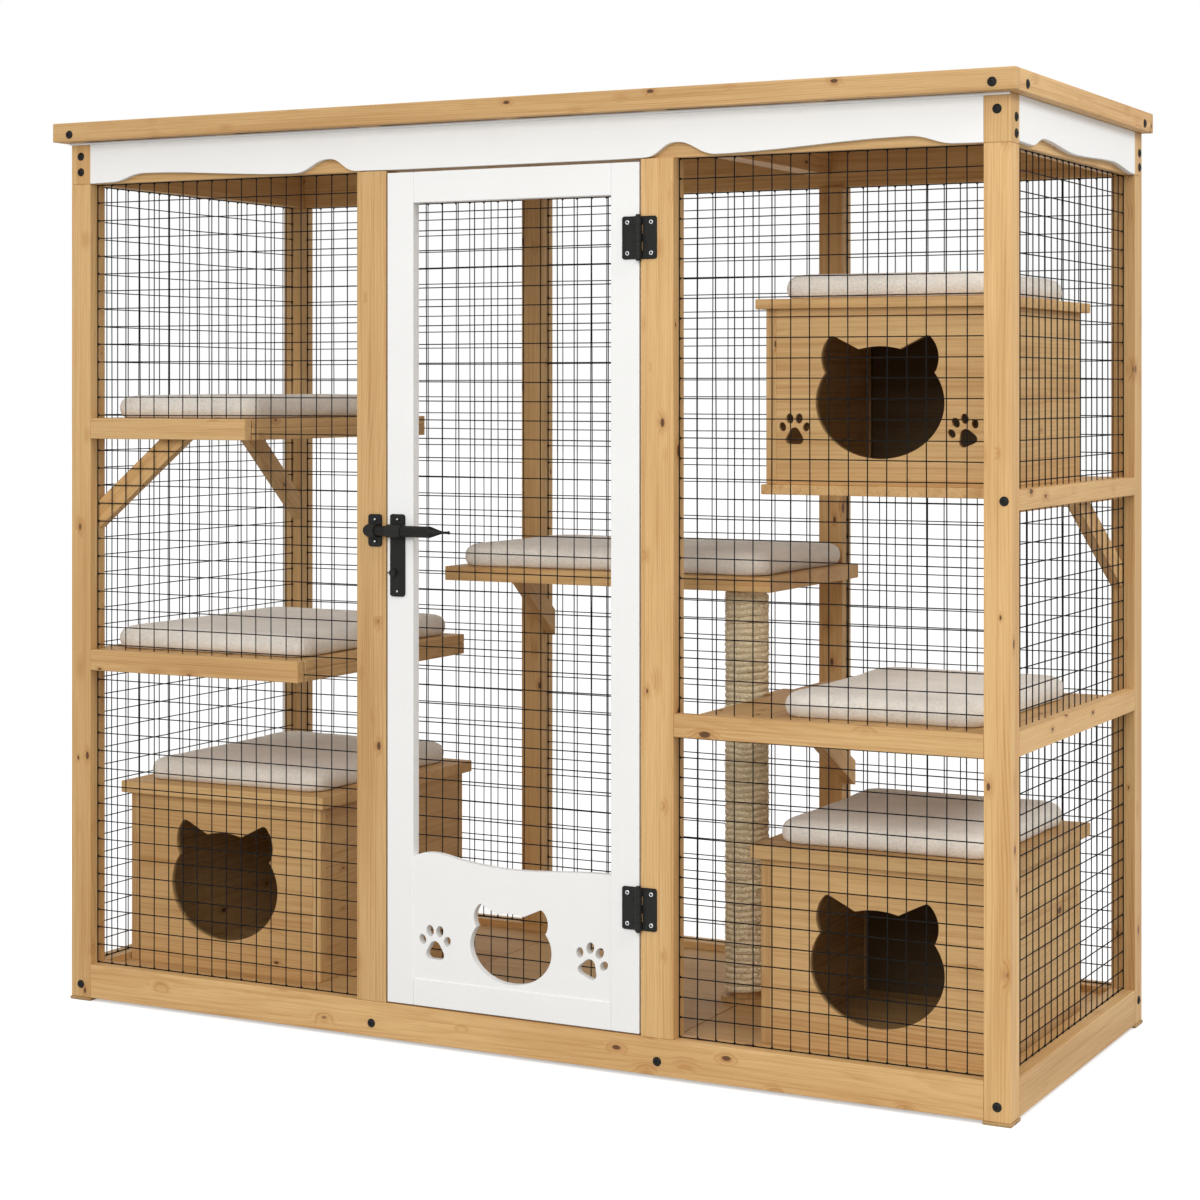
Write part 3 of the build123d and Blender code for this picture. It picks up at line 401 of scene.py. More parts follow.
def black_metal(name, steel, roughness=0.46, hammer=0.5, gloss=0.2):
    """Black powder coat, uneven as on forged iron and rubbed on its edges."""
    finish = Finish(name, Specular_IOR_Level=gloss)
    place = finish.place()
    dents = finish.cloud(place, 110.0, 3.0, 0.6)
    speck = finish.cloud(place, 900.0, 2.0)
    edge = finish.node("ShaderNodeNewGeometry", {}, (), out="Pointiness").step(0.52, 0.60)
    colour = finish.mix(dents * 0.7, scaled(steel, 0.75), scaled(steel, 1.6))
    colour = finish.mix(edge * 0.5, colour, scaled(steel, 3.2))
    return finish.wear(
        Base_Color=colour,
        Roughness=roughness + (dents - 0.5) * 0.2 + speck * 0.08,
        Normal=finish.bump(dents + speck * 0.3, 0.0006, hammer),
    )


def bright_metal(name):
    """Zinc plating, finely brushed."""
    finish = Finish(name, Metallic=1.0)
    place = finish.place()
    scratch = finish.drawn(place, (300.0, 300.0, 2500.0), 2.0)
    colour = finish.mix(scratch, (0.52, 0.52, 0.53), (0.78, 0.78, 0.80))
    return finish.wear(
        Base_Color=colour, Roughness=0.25 + scratch * 0.2, Normal=finish.bump(scratch, 0.0002, 0.3),
    )


def plush_cloth(name, plush):
    """Short-pile plush, brushed this way and that."""
    finish = Finish(name, Roughness=0.95, Sheen_Weight=0.35, Sheen_Roughness=0.5, Specular_IOR_Level=0.1)
    place = finish.place()
    brushed = finish.cloud(place, 14.0, 3.0, 0.6)
    tuft = finish.cloud(place, 190.0, 4.0, 0.7)
    pile = finish.cloud(place, 900.0, 2.0, 0.6)
    mottle = brushed * 0.3 + tuft * 0.5 + pile * 0.2
    colour = finish.mix(mottle.step(0.34, 0.64), scaled(plush, 0.86), scaled(plush, 1.06))
    height = brushed * 1.2 + tuft * 1.3 + pile * 0.35
    return finish.wear(Base_Color=colour, Normal=finish.bump(height, 0.0028, 0.85))


def sisal_fibre(name, sisal):
    """Twisted sisal: wavy strands that climb across the rope, split into finer fibres."""
    finish = Finish(name, Roughness=0.9, Specular_IOR_Level=0.15)
    lay = finish.attribute("lay", out="Vector")
    along, around = (finish.split(lay, axis) for axis in "XY")
    place = finish.place()
    bend = finish.cloud(place, 60.0, 2.0) - 0.5
    curl = finish.cloud(place, 170.0, 2.0) - 0.5
    twist = (along * 150.0 + around * 2.0 + bend * 3.2 + curl * 1.3).fraction()
    strand = 1 - (twist * 2 - 1).size()
    wavy = finish.join(along * 420.0 + around * 6.0 + bend * 9.0, around * 5.0 + curl * 4.0, 0.0)
    fibre = finish.cloud(wavy, 1.0, 3.0, 0.65)
    patch = finish.cloud(place, 22.0, 3.0)
    light = finish.mix(patch, scaled(sisal, 0.94), scaled(sisal, 1.10))
    # Painted shade: the colour darkens in the grooves between the strands
    colour = finish.mix((1 - strand.step(0.0, 0.42)) * 0.34, light, scaled(sisal, 0.58))
    colour = finish.mix(fibre.step(0.56, 0.80) * 0.18, colour, scaled(sisal, 0.6))
    return finish.wear(Base_Color=colour, Normal=finish.bump(strand * 1.1 + fibre * 0.5, 0.0018, 0.8))


def pale_floor(name):
    """A pale floor that takes the object's shadow and fades to white around it."""
    finish = Finish(name, Roughness=0.9, Specular_IOR_Level=0.0, Emission_Strength=1.0)
    place = finish.place()
    far = finish.node("ShaderNodeVectorMath", {"operation": "LENGTH"}, (place,), out="Value").step(1.5, 3.6)
    mottle = finish.cloud(place, 3.0, 2.0)
    rays = [finish.node("ShaderNodeLightPath", {}, (), out=ray) for ray in SEEN_RAYS]
    seen = rays[0]
    for ray in rays[1:]:
        seen = seen.larger(ray)
    pale = finish.mix(mottle, (0.77, 0.77, 0.77), (0.81, 0.81, 0.81))
    under_object = (0.46, 0.46, 0.46)
    pale = finish.mix(seen, under_object, pale)
    glow = seen * (0.45 + far * 0.6)
    return finish.wear(
        Base_Color=finish.mix(far * seen, pale, (0.02, 0.02, 0.02)),
        Emission_Color=finish.join(glow, glow, glow),
    )


# Meshes
def new_piece(name, body, mesh, *materials):
    """A piece of the object, made from a bmesh, that rides on a body."""
    data = bpy.data.meshes.new(name)
    mesh.to_mesh(data)
    mesh.free()
    for material in materials:
        data.materials.append(material)
    piece = bpy.data.objects.new(name, data)
    bpy.context.scene.collection.objects.link(piece)
    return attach(piece, body)


def closed_solids(node):
    """A node's faces sorted into its closed solids, each a list of faces given by their corners."""
    mesh = frame["nodes"][node].data
    solids, faces, open_edges = [], [], set()
    for face in mesh.polygons:
        corners = [tuple(round(c, PLACES_KEPT) for c in mesh.vertices[i].co) for i in face.vertices]
        faces.append(corners)
        for edge in zip(corners, corners[1:] + corners[:1]):
            if edge[0] != edge[1]:
                open_edges ^= {frozenset(edge)}
        if not open_edges:
            solids.append(faces)
            faces = []
    if faces:
        raise RuntimeError(f"{node}: its last solid isn't closed")
    return solids


def add_solid(mesh, faces, edge, shortest=0.0025, grain_way=None):
    """Adds a solid to the mesh with rounded edges, grain along its length and a tone of its own."""
    solid = bmesh.new()
    places = dict.fromkeys(corner for corners in faces for corner in corners)
    made = {corner: solid.verts.new(corner) for corner in places}
    for corners in faces:
        if len(set(corners)) == len(corners):
            solid.faces.new([made[c] for c in corners])
    bmesh.ops.dissolve_limit(
        solid, angle_limit=math.radians(1), verts=solid.verts[:], edges=solid.edges[:],
        use_dissolve_boundaries=False,
    )
    bend = math.radians(SHARP_ANGLE)
    sharp = [
        e for e in solid.edges
        if len(e.link_faces) == 2 and e.calc_face_angle(0) > bend and e.calc_length() > shortest
    ]
    if edge > 0 and sharp:
        bmesh.ops.bevel(
            solid, geom=sharp, offset=edge, segments=2, profile=0.5, affect="EDGES", clamp_overlap=True,
        )
    low = Vector(min(v.co[i] for v in solid.verts) for i in range(3))
    high = Vector(max(v.co[i] for v in solid.verts) for i in range(3))
    size = high - low
    longest = list(size).index(max(size))
    way = Vector(grain_way or [float(i == longest) for i in range(3)]).normalized()
    side = square_to(way)
    up = way.cross(side)
    dice = random.Random(round(sum(low) * 9173 + sum(high) * 3571, 3))
    shift = Vector([dice.uniform(*span) for span in TRUNK_CUT])
    tone = dice.uniform(*BOARD_TONES)
    grain_layer = mesh.verts.layers.float_vector["grain"]
    tone_layer = mesh.verts.layers.float["tone"]
    middle = (low + high) / 2
    copies = {}
    for vert in solid.verts:
        copy = mesh.verts.new(vert.co)
        part = vert.co - middle
        copy[grain_layer] = Vector((part.dot(way), part.dot(side), part.dot(up))) + shift
        copy[tone_layer] = tone
        copies[vert] = copy
    for face in solid.faces:
        copy = mesh.faces.new([copies[v] for v in face.verts])
        copy.smooth = True
    solid.free()


def finish_edges(piece, angle=50):
    """Smooth shading that keeps flat faces flat."""
    piece.data.set_sharp_from_angle(angle=math.radians(angle))
    weighted = piece.modifiers.new("Face Weighted Shading", "WEIGHTED_NORMAL")
    weighted.keep_sharp = True
    weighted.weight = 80
    return piece


def dress(node, material, edge, grain_way=None, shortest=0.0025, suffix="boards"):
    """A piece that stands for a node, with rounded edges and grain on each of its solids."""
    mesh = bmesh.new()
    mesh.verts.layers.float_vector.new("grain")
    mesh.verts.layers.float.new("tone")
    for faces in closed_solids(node):
        add_solid(mesh, faces, edge, shortest, grain_way)
    piece = new_piece(f"{node}_{suffix}", body_of(node), mesh, material)
    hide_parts(node)
    return finish_edges(piece)


def body_of(node):
    """The body that a node rides on."""
    bodies = frame["record"]["behaviour"]["bodies"]
    return next(body for body, nodes in bodies.items() if node in nodes)


def opening_box(name):
    """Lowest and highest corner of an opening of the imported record."""
    openings = frame["record"]["physics"]["openings"]
    low, high = next(opening["box_m"] for opening in openings if opening["name"] == name)
    return Vector(low), Vector(high)


def square_to(way):
    """A direction square to a way."""
    return way.cross(Vector((0, 0, 1)) if abs(way.z) < 0.9 else Vector((0, 1, 0))).normalized()


def join_rings(mesh, rings, material=0):
    """Joins each ring of corners to the next with smooth faces, and returns the faces."""
    faces = []
    for first, second in zip(rings, rings[1:]):
        for k in range(len(first)):
            after = (k + 1) % len(first)
            face = mesh.faces.new((first[k], first[after], second[after], second[k]))
            face.smooth = True
            face.material_index = material
            faces.append(face)
    return faces


def add_ring_tube(mesh, centres, radius, sides, squareness=1.0):
    """Adds a tube through centres, round or nearly square, and returns its rings of corners."""
    rings = []
    for i, centre in enumerate(centres):
        before = centres[max(i - 1, 0)]
        after = centres[min(i + 1, len(centres) - 1)]
        way = (after - before).normalized()
        side = square_to(way)
        up = side.cross(way)
        ring = []
        for k in range(sides):
            angle = 2 * math.pi * k / sides
            out, rise = (
                math.copysign(abs(part) ** squareness, part) for part in (math.cos(angle), math.sin(angle))
            )
            ring.append(mesh.verts.new(centre + (side * out + up * rise) * radius))
        rings.append(ring)
    join_rings(mesh, rings)
    mesh.faces.new(rings[0])
    mesh.faces.new(list(reversed(rings[-1])))
    return rings


def add_lathe(mesh, place, way, profile, sides=20, material=0):
    """Adds a turned form: profile holds a radius and a height along way for each ring."""
    way = Vector(way).normalized()
    side = square_to(way)
    up = way.cross(side)
    rings = []
    for radius, height in profile:
        rings.append([
            mesh.verts.new(
                Vector(place) + way * height
                + (side * math.cos(2 * math.pi * k / sides) + up * math.sin(2 * math.pi * k / sides)) * radius
            )
            for k in range(sides)
        ])
    join_rings(mesh, rings, material)
    for ring in (rings[0], list(reversed(rings[-1]))):
        face = mesh.faces.new(ring)
        face.material_index = material


def solid_bounds(faces):
    """Lowest and highest corner of one solid."""
    points = [c for corners in faces for c in corners]
    low = Vector(min(p[i] for p in points) for i in range(3))
    high = Vector(max(p[i] for p in points) for i in range(3))
    return low, high


# Finishes, made once
finishes = {}


def finish_named(name):
    """The finish of one name, made when it is first asked for."""
    if name not in finishes:
        settings = bpy.context.scene
        woods, wire = settings.enclosure_wood, settings.enclosure_wire
        soft, hardware = settings.enclosure_soft, settings.enclosure_hardware
        pine = [tuple(part) for part in (woods.light, woods.line, woods.streak, woods.knot)]
        makers = {
            "pine": lambda: wood("Honey Pine", *pine),
            "house pine": lambda: wood("House Panels", *shades(pine, 0.92), 0.0065, 0.08, 0.55, 0.6),
            "floor ply": lambda: wood("Floor Plywood", *shades(pine, 0.92), 0.009, 0.05, 0.55, 0.7),
            "foot wood": lambda: wood("Foot Pads", *shades(pine, 0.68)),
            "paint": lambda: painted_wood("White Paint", tuple(woods.paint)),
            "wire": lambda: black_metal("Coated Wire", tuple(wire.colour), 0.55, 0.2, 0.12),
            "steel": lambda: black_metal("Black Steel", tuple(hardware.steel)),
            "zinc": lambda: bright_metal("Bright Zinc"),
            "plush": lambda: plush_cloth("Cream Plush", tuple(soft.plush)),
            "sisal": lambda: sisal_fibre("Sisal Rope", tuple(soft.sisal)),
            "floor": lambda: pale_floor("Studio Floor"),
        }
        finishes[name] = makers[name]()
    return finishes[name]


# Operators
class ENCLOSURE_OT_frame(bpy.types.Operator):
    """Dress the posts, rails, joists and roof edges"""

    bl_idname = "enclosure.frame"
    bl_label = "Frame Boards"

    def execute(self, context):
        edge = context.scene.enclosure_wood.edge
        for node in BOARD_NODES:
            name = "foot wood" if node == "foot_pads" else "pine"
            dress(node, finish_named(name), edge)
        return {"FINISHED"}


class ENCLOSURE_OT_floor_and_roof(bpy.types.Operator):
    """Dress the floor boards and the roof deck"""

    bl_idname = "enclosure.floor_and_roof"
    bl_label = "Floor and Roof"

    def execute(self, context):
        edge = context.scene.enclosure_wood.edge
        dress("floor_boards", finish_named("floor ply"), edge, grain_way=(1, 0, 0))
        dress("roof_deck", finish_named("house pine"), edge)
        return {"FINISHED"}


class ENCLOSURE_OT_shelves(bpy.types.Operator):
    """Dress the shelves and their braces"""

    bl_idname = "enclosure.shelves"
    bl_label = "Shelves and Braces"

    def execute(self, context):
        edge = context.scene.enclosure_wood.edge
        for node in SHELF_NODES:
            way = None
            if "brace" in node:
                low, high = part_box("front_brace")
                way = (high.x - low.x, 0, high.z - low.z) if node == "front_brace" else (0, -1.25, 1)
            dress(node, finish_named("pine"), edge, grain_way=way)
        return {"FINISHED"}


class ENCLOSURE_OT_houses(bpy.types.Operator):
    """Dress the three cat houses"""

    bl_idname = "enclosure.houses"
    bl_label = "Cat Houses"

    def execute(self, context):
        edge = context.scene.enclosure_wood.edge
        for house in HOUSES:
            room = opening_box(f"{house}_room")
            for part in ("walls", "front", "lid"):
                piece = dress(
                    f"{house}_{part}", finish_named("house pine"), edge,
                    grain_way=None if part == "walls" else (1, 0, 0),
                )
                self.shade_room(piece, *room)
        return {"FINISHED"}

    def shade_room(self, piece, low, high):
        """Paints shade on the room's own faces: their tone is darkened, as they never see the light."""
        reach = 0.002
        tone = piece.data.attributes["tone"].data
        for vert in piece.data.vertices:
            if all(low[i] - reach <= vert.co[i] <= high[i] + reach for i in range(3)):
                # Painted shade: the room's faces keep only a share of their tone
                tone[vert.index].value *= ROOM_PAINTED_SHADE


class ENCLOSURE_OT_white_boards(bpy.types.Operator):
    """Dress the valances and the door in white paint"""

    bl_idname = "enclosure.white_boards"
    bl_label = "Valances and Door"

    def execute(self, context):
        edge = context.scene.enclosure_wood.edge
        for node in ("valances", "door_stiles", "door_rails", "door_panel"):
            dress(node, finish_named("paint"), edge)
        return {"FINISHED"}


class ENCLOSURE_OT_mesh(bpy.types.Operator):
    """Weld the black wire mesh of the walls and the door"""

    bl_idname = "enclosure.mesh"
    bl_label = "Welded Mesh"

    def execute(self, context):
        wire = context.scene.enclosure_wire
        for node in ("front_mesh", "back_mesh", "side_mesh", "door_mesh"):
            mesh = bmesh.new()
            for faces in closed_solids(node):
                self.add_sheet(mesh, *solid_bounds(faces), wire)
            piece = new_piece(f"{node}_wires", body_of(node), mesh, finish_named("wire"))
            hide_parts(node)
        return {"FINISHED"}

    def add_sheet(self, mesh, low, high, wire):
        """Upright wires in front of level ones, welded where they cross, and a staple at each end."""
        thin = 0 if high.x - low.x < high.y - low.y else 1
        flat = 1 - thin
        radius = wire.diameter / 2
        columns = round((high[flat] - low[flat]) / wire.pitch)
        rows = round((high.z - low.z) / wire.pitch)
        middle = (low[thin] + high[thin]) / 2
        outward = math.copysign(1, middle)
        step_flat = (high[flat] - low[flat] - wire.diameter) / columns
        step_up = (high.z - low.z - wire.diameter) / rows
        across = [low[flat] + radius + i * step_flat for i in range(columns + 1)]
        up = [low.z + radius + i * step_up for i in range(rows + 1)]
        dice = random.Random(columns * 100 + rows)

        def point(a, z, depth):
            place = Vector((0, 0, z))
            place[flat] = a
            place[thin] = middle + outward * depth
            return place

        sway, sides, weld = 0.0011, 6, radius * 0.8
        for i, a in enumerate(across):
            bend = dice.uniform(-sway, sway) if 0 < i < columns else 0
            phase = dice.uniform(0, 6)
            line = [point(a + bend * math.sin(z * 5 + phase), z, weld) for z in up]
            add_ring_tube(mesh, line, radius, sides)
        for i, z in enumerate(up):
            bend = dice.uniform(-sway, sway) if 0 < i < rows else 0
            phase = dice.uniform(0, 6)
            line = [point(a, z + bend * math.sin(a * 6 + phase), -weld) for a in across]
            add_ring_tube(mesh, line, radius, sides)
        way = Vector((0, 0, 0))
        way[thin] = outward
        bead = [(radius * a, radius * b) for a, b in ((0.7, -1.6), (2.1, -0.6), (2.1, 0.8), (1.0, 1.9))]
        for z in up:
            for a in (across[0] + radius, across[-1] - radius):
                add_lathe(mesh, point(a, z, 0), way, bead, 8)
        for a in across[1:-1]:
            for z in (up[0] + radius, up[-1] - radius):
                add_lathe(mesh, point(a, z, 0), way, bead, 8)


class ENCLOSURE_OT_hardware(bpy.types.Operator):
    """Dress the hinges and the latch"""

    bl_idname = "enclosure.hardware"
    bl_label = "Hinges and Latch"

    def execute(self, context):
        edge = context.scene.enclosure_hardware.edge
        nodes = (
            "hinge_leaves_post", "hinge_leaves_door", "hinge_pins",
            "latch_plate", "latch_keeper", "latch_bolt",
        )
        for node in nodes:
            dress(node, finish_named("steel"), edge, shortest=0.004, suffix="iron")
        return {"FINISHED"}


class ENCLOSURE_OT_screws(bpy.types.Operator):
    """Turn the screws and the domed bolts"""

    bl_idname = "enclosure.screws"
    bl_label = "Screws and Bolts"

    def execute(self, context):
        for node in ("frame_bolts", "roof_screws"):
            mesh = bmesh.new()
            for faces in closed_solids(node):
                self.add_bolt(mesh, *solid_bounds(faces))
            self.finish_piece(node, mesh, "steel", "steel")
        for node in ("door_screws", "post_screws"):
            mesh = bmesh.new()
            for faces in closed_solids(node):
                low, high = solid_bounds(faces)
                bright = abs(middle_z(low, high) - latch_height()) > LATCH_REACH
                self.add_screw(mesh, low, high, bright)
            self.finish_piece(node, mesh, "zinc", "steel")
        return {"FINISHED"}

    def finish_piece(self, node, mesh, *names):
        piece = new_piece(f"{node}_heads", body_of(node), mesh, *[finish_named(n) for n in names])
        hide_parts(node)

    def add_bolt(self, mesh, low, high):
        """A domed head with a small socket, and its shank in the wood."""
        size = high - low
        axis = list(size).index(max(size))
        middle = (low + high) / 2
        way = Vector((0, 0, 0))
        way[axis] = math.copysign(1, middle[axis])
        outer = abs(high[axis] if way[axis] > 0 else low[axis])
        head = min(size[i] for i in range(3) if i != axis) / 2
        place = middle.copy()
        place[axis] = way[axis] * outer
        rise = 0.0035
        turns = [math.radians(angle) for angle in (0, 20, 40, 60)]
        dome = [(head * math.cos(a), -rise + rise * math.sin(a)) for a in turns]
        socket = [(head * 0.34, -rise * 0.04), (head * 0.30, -rise * 0.1), (head * 0.28, -rise * 0.6)]
        shank = [(head * 0.35, -max(size)), (head * 0.35, -rise - 0.0002), (head, -rise - 0.0002)]
        add_lathe(mesh, place, way, shank + dome + socket, 24)

    def add_screw(self, mesh, low, high, bright):
        """A countersunk head: a bright ring round a dark recess, darkened as painted shade, or a small dark
        head.
        """
        middle = (low + high) / 2
        head = (high.x - low.x) / 2
        place = Vector((middle.x, low.y, middle.z))
        rise = 0.0016
        ring = [
            (head * 0.4, -(high.y - low.y)), (head * 0.4, -rise), (head, -rise), (head, -rise * 0.55),
            (head * 0.88, -rise * 0.15), (head * 0.7, 0), (head * 0.5, -rise * 0.12),
        ]
        add_lathe(mesh, place, (0, -1, 0), ring, 20, 0 if bright else 1)
        # On a bright screw the recess takes the black steel finish: painted shade in the recess
        recess = [(head * 0.5, -rise * 0.5), (head * 0.5, -rise * 0.1), (head * 0.2, -rise * 0.08)]
        add_lathe(mesh, place, (0, -1, 0), recess, 12, 1 if bright else 0)


def middle_z(low, high):
    """The height of a box's middle."""
    return (low.z + high.z) / 2


def latch_height():
    """The height of the latch bolt."""
    return middle_z(*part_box("latch_bolt"))


class ENCLOSURE_OT_cushions(bpy.types.Operator):
    """Sew and fill the seven cushions"""

    bl_idname = "enclosure.cushions"
    bl_label = "Cushions"

    def execute(self, context):
        puff = context.scene.enclosure_soft.puff
        for number, node in enumerate(CUSHIONS):
            low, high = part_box(node)
            cover = self.cover(low, high, number)
            piece = new_piece(f"{node}_plush", body_of(node), cover, finish_named("plush"))
            self.fill(piece, puff, low, high)
            smooth = piece.modifiers.new("Soft Surface", "SUBSURF")
            smooth.levels = smooth.render_levels = 1
            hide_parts(node)
        return {"FINISHED"}

    def cover(self, low, high, number):
        """A closed cushion with round corners, drawn-in sides, a soft crown and puckers along its seam."""
        mesh = bmesh.new()
        size = high - low
        middle = (low + high) / 2
        corner, steps, stitch = 0.034, 9, 0.022
        outline = []
        for sx, sy, start in ((1, 1, 0), (-1, 1, 90), (-1, -1, 180), (1, -1, 270)):
            for i in range(steps):
                angle = math.radians(start + 90 * i / (steps - 1))
                outline.append(Vector((
                    sx * (size.x / 2 - corner) + corner * math.cos(angle),
                    sy * (size.y / 2 - corner) + corner * math.sin(angle), 0,
                )))
        outline = self.divide(outline, stitch)
        rim = size.z * 0.42
        sections = []
        for i in range(7):
            angle = math.radians(-90 + 90 * i / 6)
            sections.append((0.012 * (1 - math.cos(angle)), rim + rim * math.sin(angle)))
        for i in range(1, 8):
            angle = math.radians(90 * i / 8)
            sections.append((0.016 * (1 - math.cos(angle)), rim + (size.z * 0.47) * math.sin(angle)))
        rings = []
        for inset, height in sections:
            ring = []
            for k, point in enumerate(outline):
                way = point.normalized()
                seed = Vector((point.x * 22, point.y * 22, number * 3.1 + height * 30))
                place = point - way * (inset + 0.004 + 0.0012 * noise.noise(seed))
                level = low.z + 0.0006 + height
                ring.append(mesh.verts.new((middle.x + place.x, middle.y + place.y, level)))
            rings.append(ring)
        join_rings(mesh, rings)
        self.cap(mesh, rings[0], middle, 0.0, number)
        self.cap(mesh, rings[-1], middle, size.z * 0.07, number)
        return mesh

    def divide(self, outline, longest):
        """The outline with its long sides divided."""
        points = []
        for first, second in zip(outline, outline[1:] + outline[:1]):
            count = max(1, round((second - first).length / longest))
            points += [first.lerp(second, i / count) for i in range(count)]
        return points

    def cap(self, mesh, ring, middle, crown, number):
        """Closes the top or the bottom with rings that shrink towards the middle."""
        rings = [ring]
        count = 10
        for i in range(1, count):
            share = 1 - i / count
            rise = crown * (1 - share ** 3)
            shrunk = []
            for vert in ring:
                flat = Vector((middle.x, middle.y, vert.co.z)).lerp(vert.co, share)
                dip = 0.0016 * noise.noise(Vector((flat.x * 9, flat.y * 9, number * 2.7))) * (1 - share)
                shrunk.append(mesh.verts.new(flat + Vector((0, 0, rise + (dip if crown else 0)))))
            rings.append(shrunk)
        join_rings(mesh, rings)
        mesh.faces.new(rings[-1]).smooth = True
        bmesh.ops.recalc_face_normals(mesh, faces=mesh.faces[:])

    def fill(self, piece, puff, low, high):
        """Lets the filling push the cover out, then keeps it within its place on the board."""
        bpy.context.view_layer.objects.active = piece
        remesh = piece.modifiers.new("Even Cloth", "REMESH")
        remesh.mode = "VOXEL"
        remesh.voxel_size = 0.0065
        self.apply(piece, remesh)
        rest = [v.co.copy() for v in piece.data.vertices]
        cloth = piece.modifiers.new("Filling", "CLOTH")
        cloth.settings.use_pressure = True
        cloth.settings.uniform_pressure_force = 2.5
        cloth.settings.effector_weights.gravity = 0.0
        cloth.settings.tension_stiffness = 25
        cloth.settings.compression_stiffness = 10
        cloth.settings.bending_stiffness = 1.5
        cloth.settings.quality = 4
        cloth.point_cache.frame_start = 1
        cloth.point_cache.frame_end = FILLED_FRAME
        for number in range(1, FILLED_FRAME + 1):
            bpy.context.scene.frame_set(number)
        self.apply(piece, cloth)
        for vert, start in zip(piece.data.vertices, rest):
            move = vert.co - start
            if move.length > puff:
                move *= puff / move.length
            place = start + move
            place.z = min(max(place.z, low.z + 0.0005), high.z + 0.006)
            vert.co = place
        for face in piece.data.polygons:
            face.use_smooth = True
        bpy.context.scene.frame_set(1)

    def apply(self, piece, modifier):
        """Makes a modifier's result the piece's own mesh."""
        graph = bpy.context.evaluated_depsgraph_get()
        graph.update()
        result = bpy.data.meshes.new_from_object(piece.evaluated_get(graph), depsgraph=graph)
        old = piece.data
        piece.modifiers.remove(modifier)
        piece.data = result
        bpy.data.meshes.remove(old)


class ENCLOSURE_OT_scratching_post(bpy.types.Operator):
    """Wind the scratching post with sisal rope"""

    bl_idname = "enclosure.scratching_post"
    bl_label = "Scratching Post"

    def execute(self, context):
        dress("scratching_post", finish_named("house pine"), 0.001, shortest=0.02, suffix="core")
        turns = context.scene.enclosure_soft.rope_turns
        low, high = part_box("sisal_rope")
        middle = (low + high) / 2
        outer = (high.x - low.x) / 2
        bottom, top = low.z, high.z
        radius = (top - bottom) / turns / 2 * 1.03
        wind = outer - radius
        mesh = bmesh.new()
        lay = mesh.verts.layers.float_vector.new("lay")
        dice = random.Random(5)
        loose = [dice.uniform(-1, 1) for _ in range(turns + 2)]
        centres = []
        for i in range(turns * ROPE_POINTS + 1):
            angle = 2 * math.pi * i / ROPE_POINTS
            share = i / ROPE_POINTS
            whole = int(share)
            sag = loose[whole] * (1 - share + whole) + loose[whole + 1] * (share - whole)
            height = bottom + radius + (top - bottom - 2 * radius) * share / turns + sag * 0.0006
            place = Vector((math.cos(angle) * 1.7, math.sin(angle) * 1.7, height * 16))
            ease = max(0.0, min(1.0, (height - bottom) / 0.03, (top - height) / 0.03))
            height += ease * 0.0045 * noise.noise(place)
            out = wind + 0.0007 * noise.noise(place * 2.3)
            x, y = middle.x + out * math.cos(angle), middle.y + out * math.sin(angle)
            centres.append(Vector((x, y, height)))
        rings = add_ring_tube(mesh, centres, radius, ROPE_SIDES, 0.5)
        length = 2 * math.pi * wind / ROPE_POINTS
        for i, ring in enumerate(rings):
            for k, vert in enumerate(ring):
                vert[lay] = (i * length, k / ROPE_SIDES, 0)
        rope = new_piece("sisal_rope_winding", CABIN_BODY, mesh, finish_named("sisal"))
        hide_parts("sisal_rope")
        self.add_fibres(centres, radius, middle)
        return {"FINISHED"}

    def add_fibres(self, centres, radius, middle):
        """Loose fibres that stand off the rope."""
        mesh = bmesh.new()
        mesh.verts.layers.float_vector.new("lay")
        dice = random.Random(11)
        thin = 0.00028
        for _ in range(ROPE_FIBRES):
            centre = dice.choice(centres)
            out = Vector((centre.x - middle.x, centre.y - middle.y, 0)).normalized()
            around = Vector((-out.y, out.x, 0))
            start = centre + out * radius * 0.92 + Vector((0, 0, dice.uniform(-1, 1) * radius * 0.5))
            slant = Vector((0, 0, dice.uniform(-0.6, 1.0)))
            way = (around * dice.choice((-1, 1)) + slant + out * dice.uniform(0.05, 0.35)).normalized()
            length = dice.uniform(0.006, 0.016)
            curl = (out * -0.25 + Vector((0, 0, dice.uniform(-0.4, 0.4)))) * length
            line = [start, start + way * length * 0.55, start + way * length + curl]
            add_ring_tube(mesh, line, thin, 3)
        piece = new_piece("sisal_rope_fibres", CABIN_BODY, mesh, finish_named("sisal"))


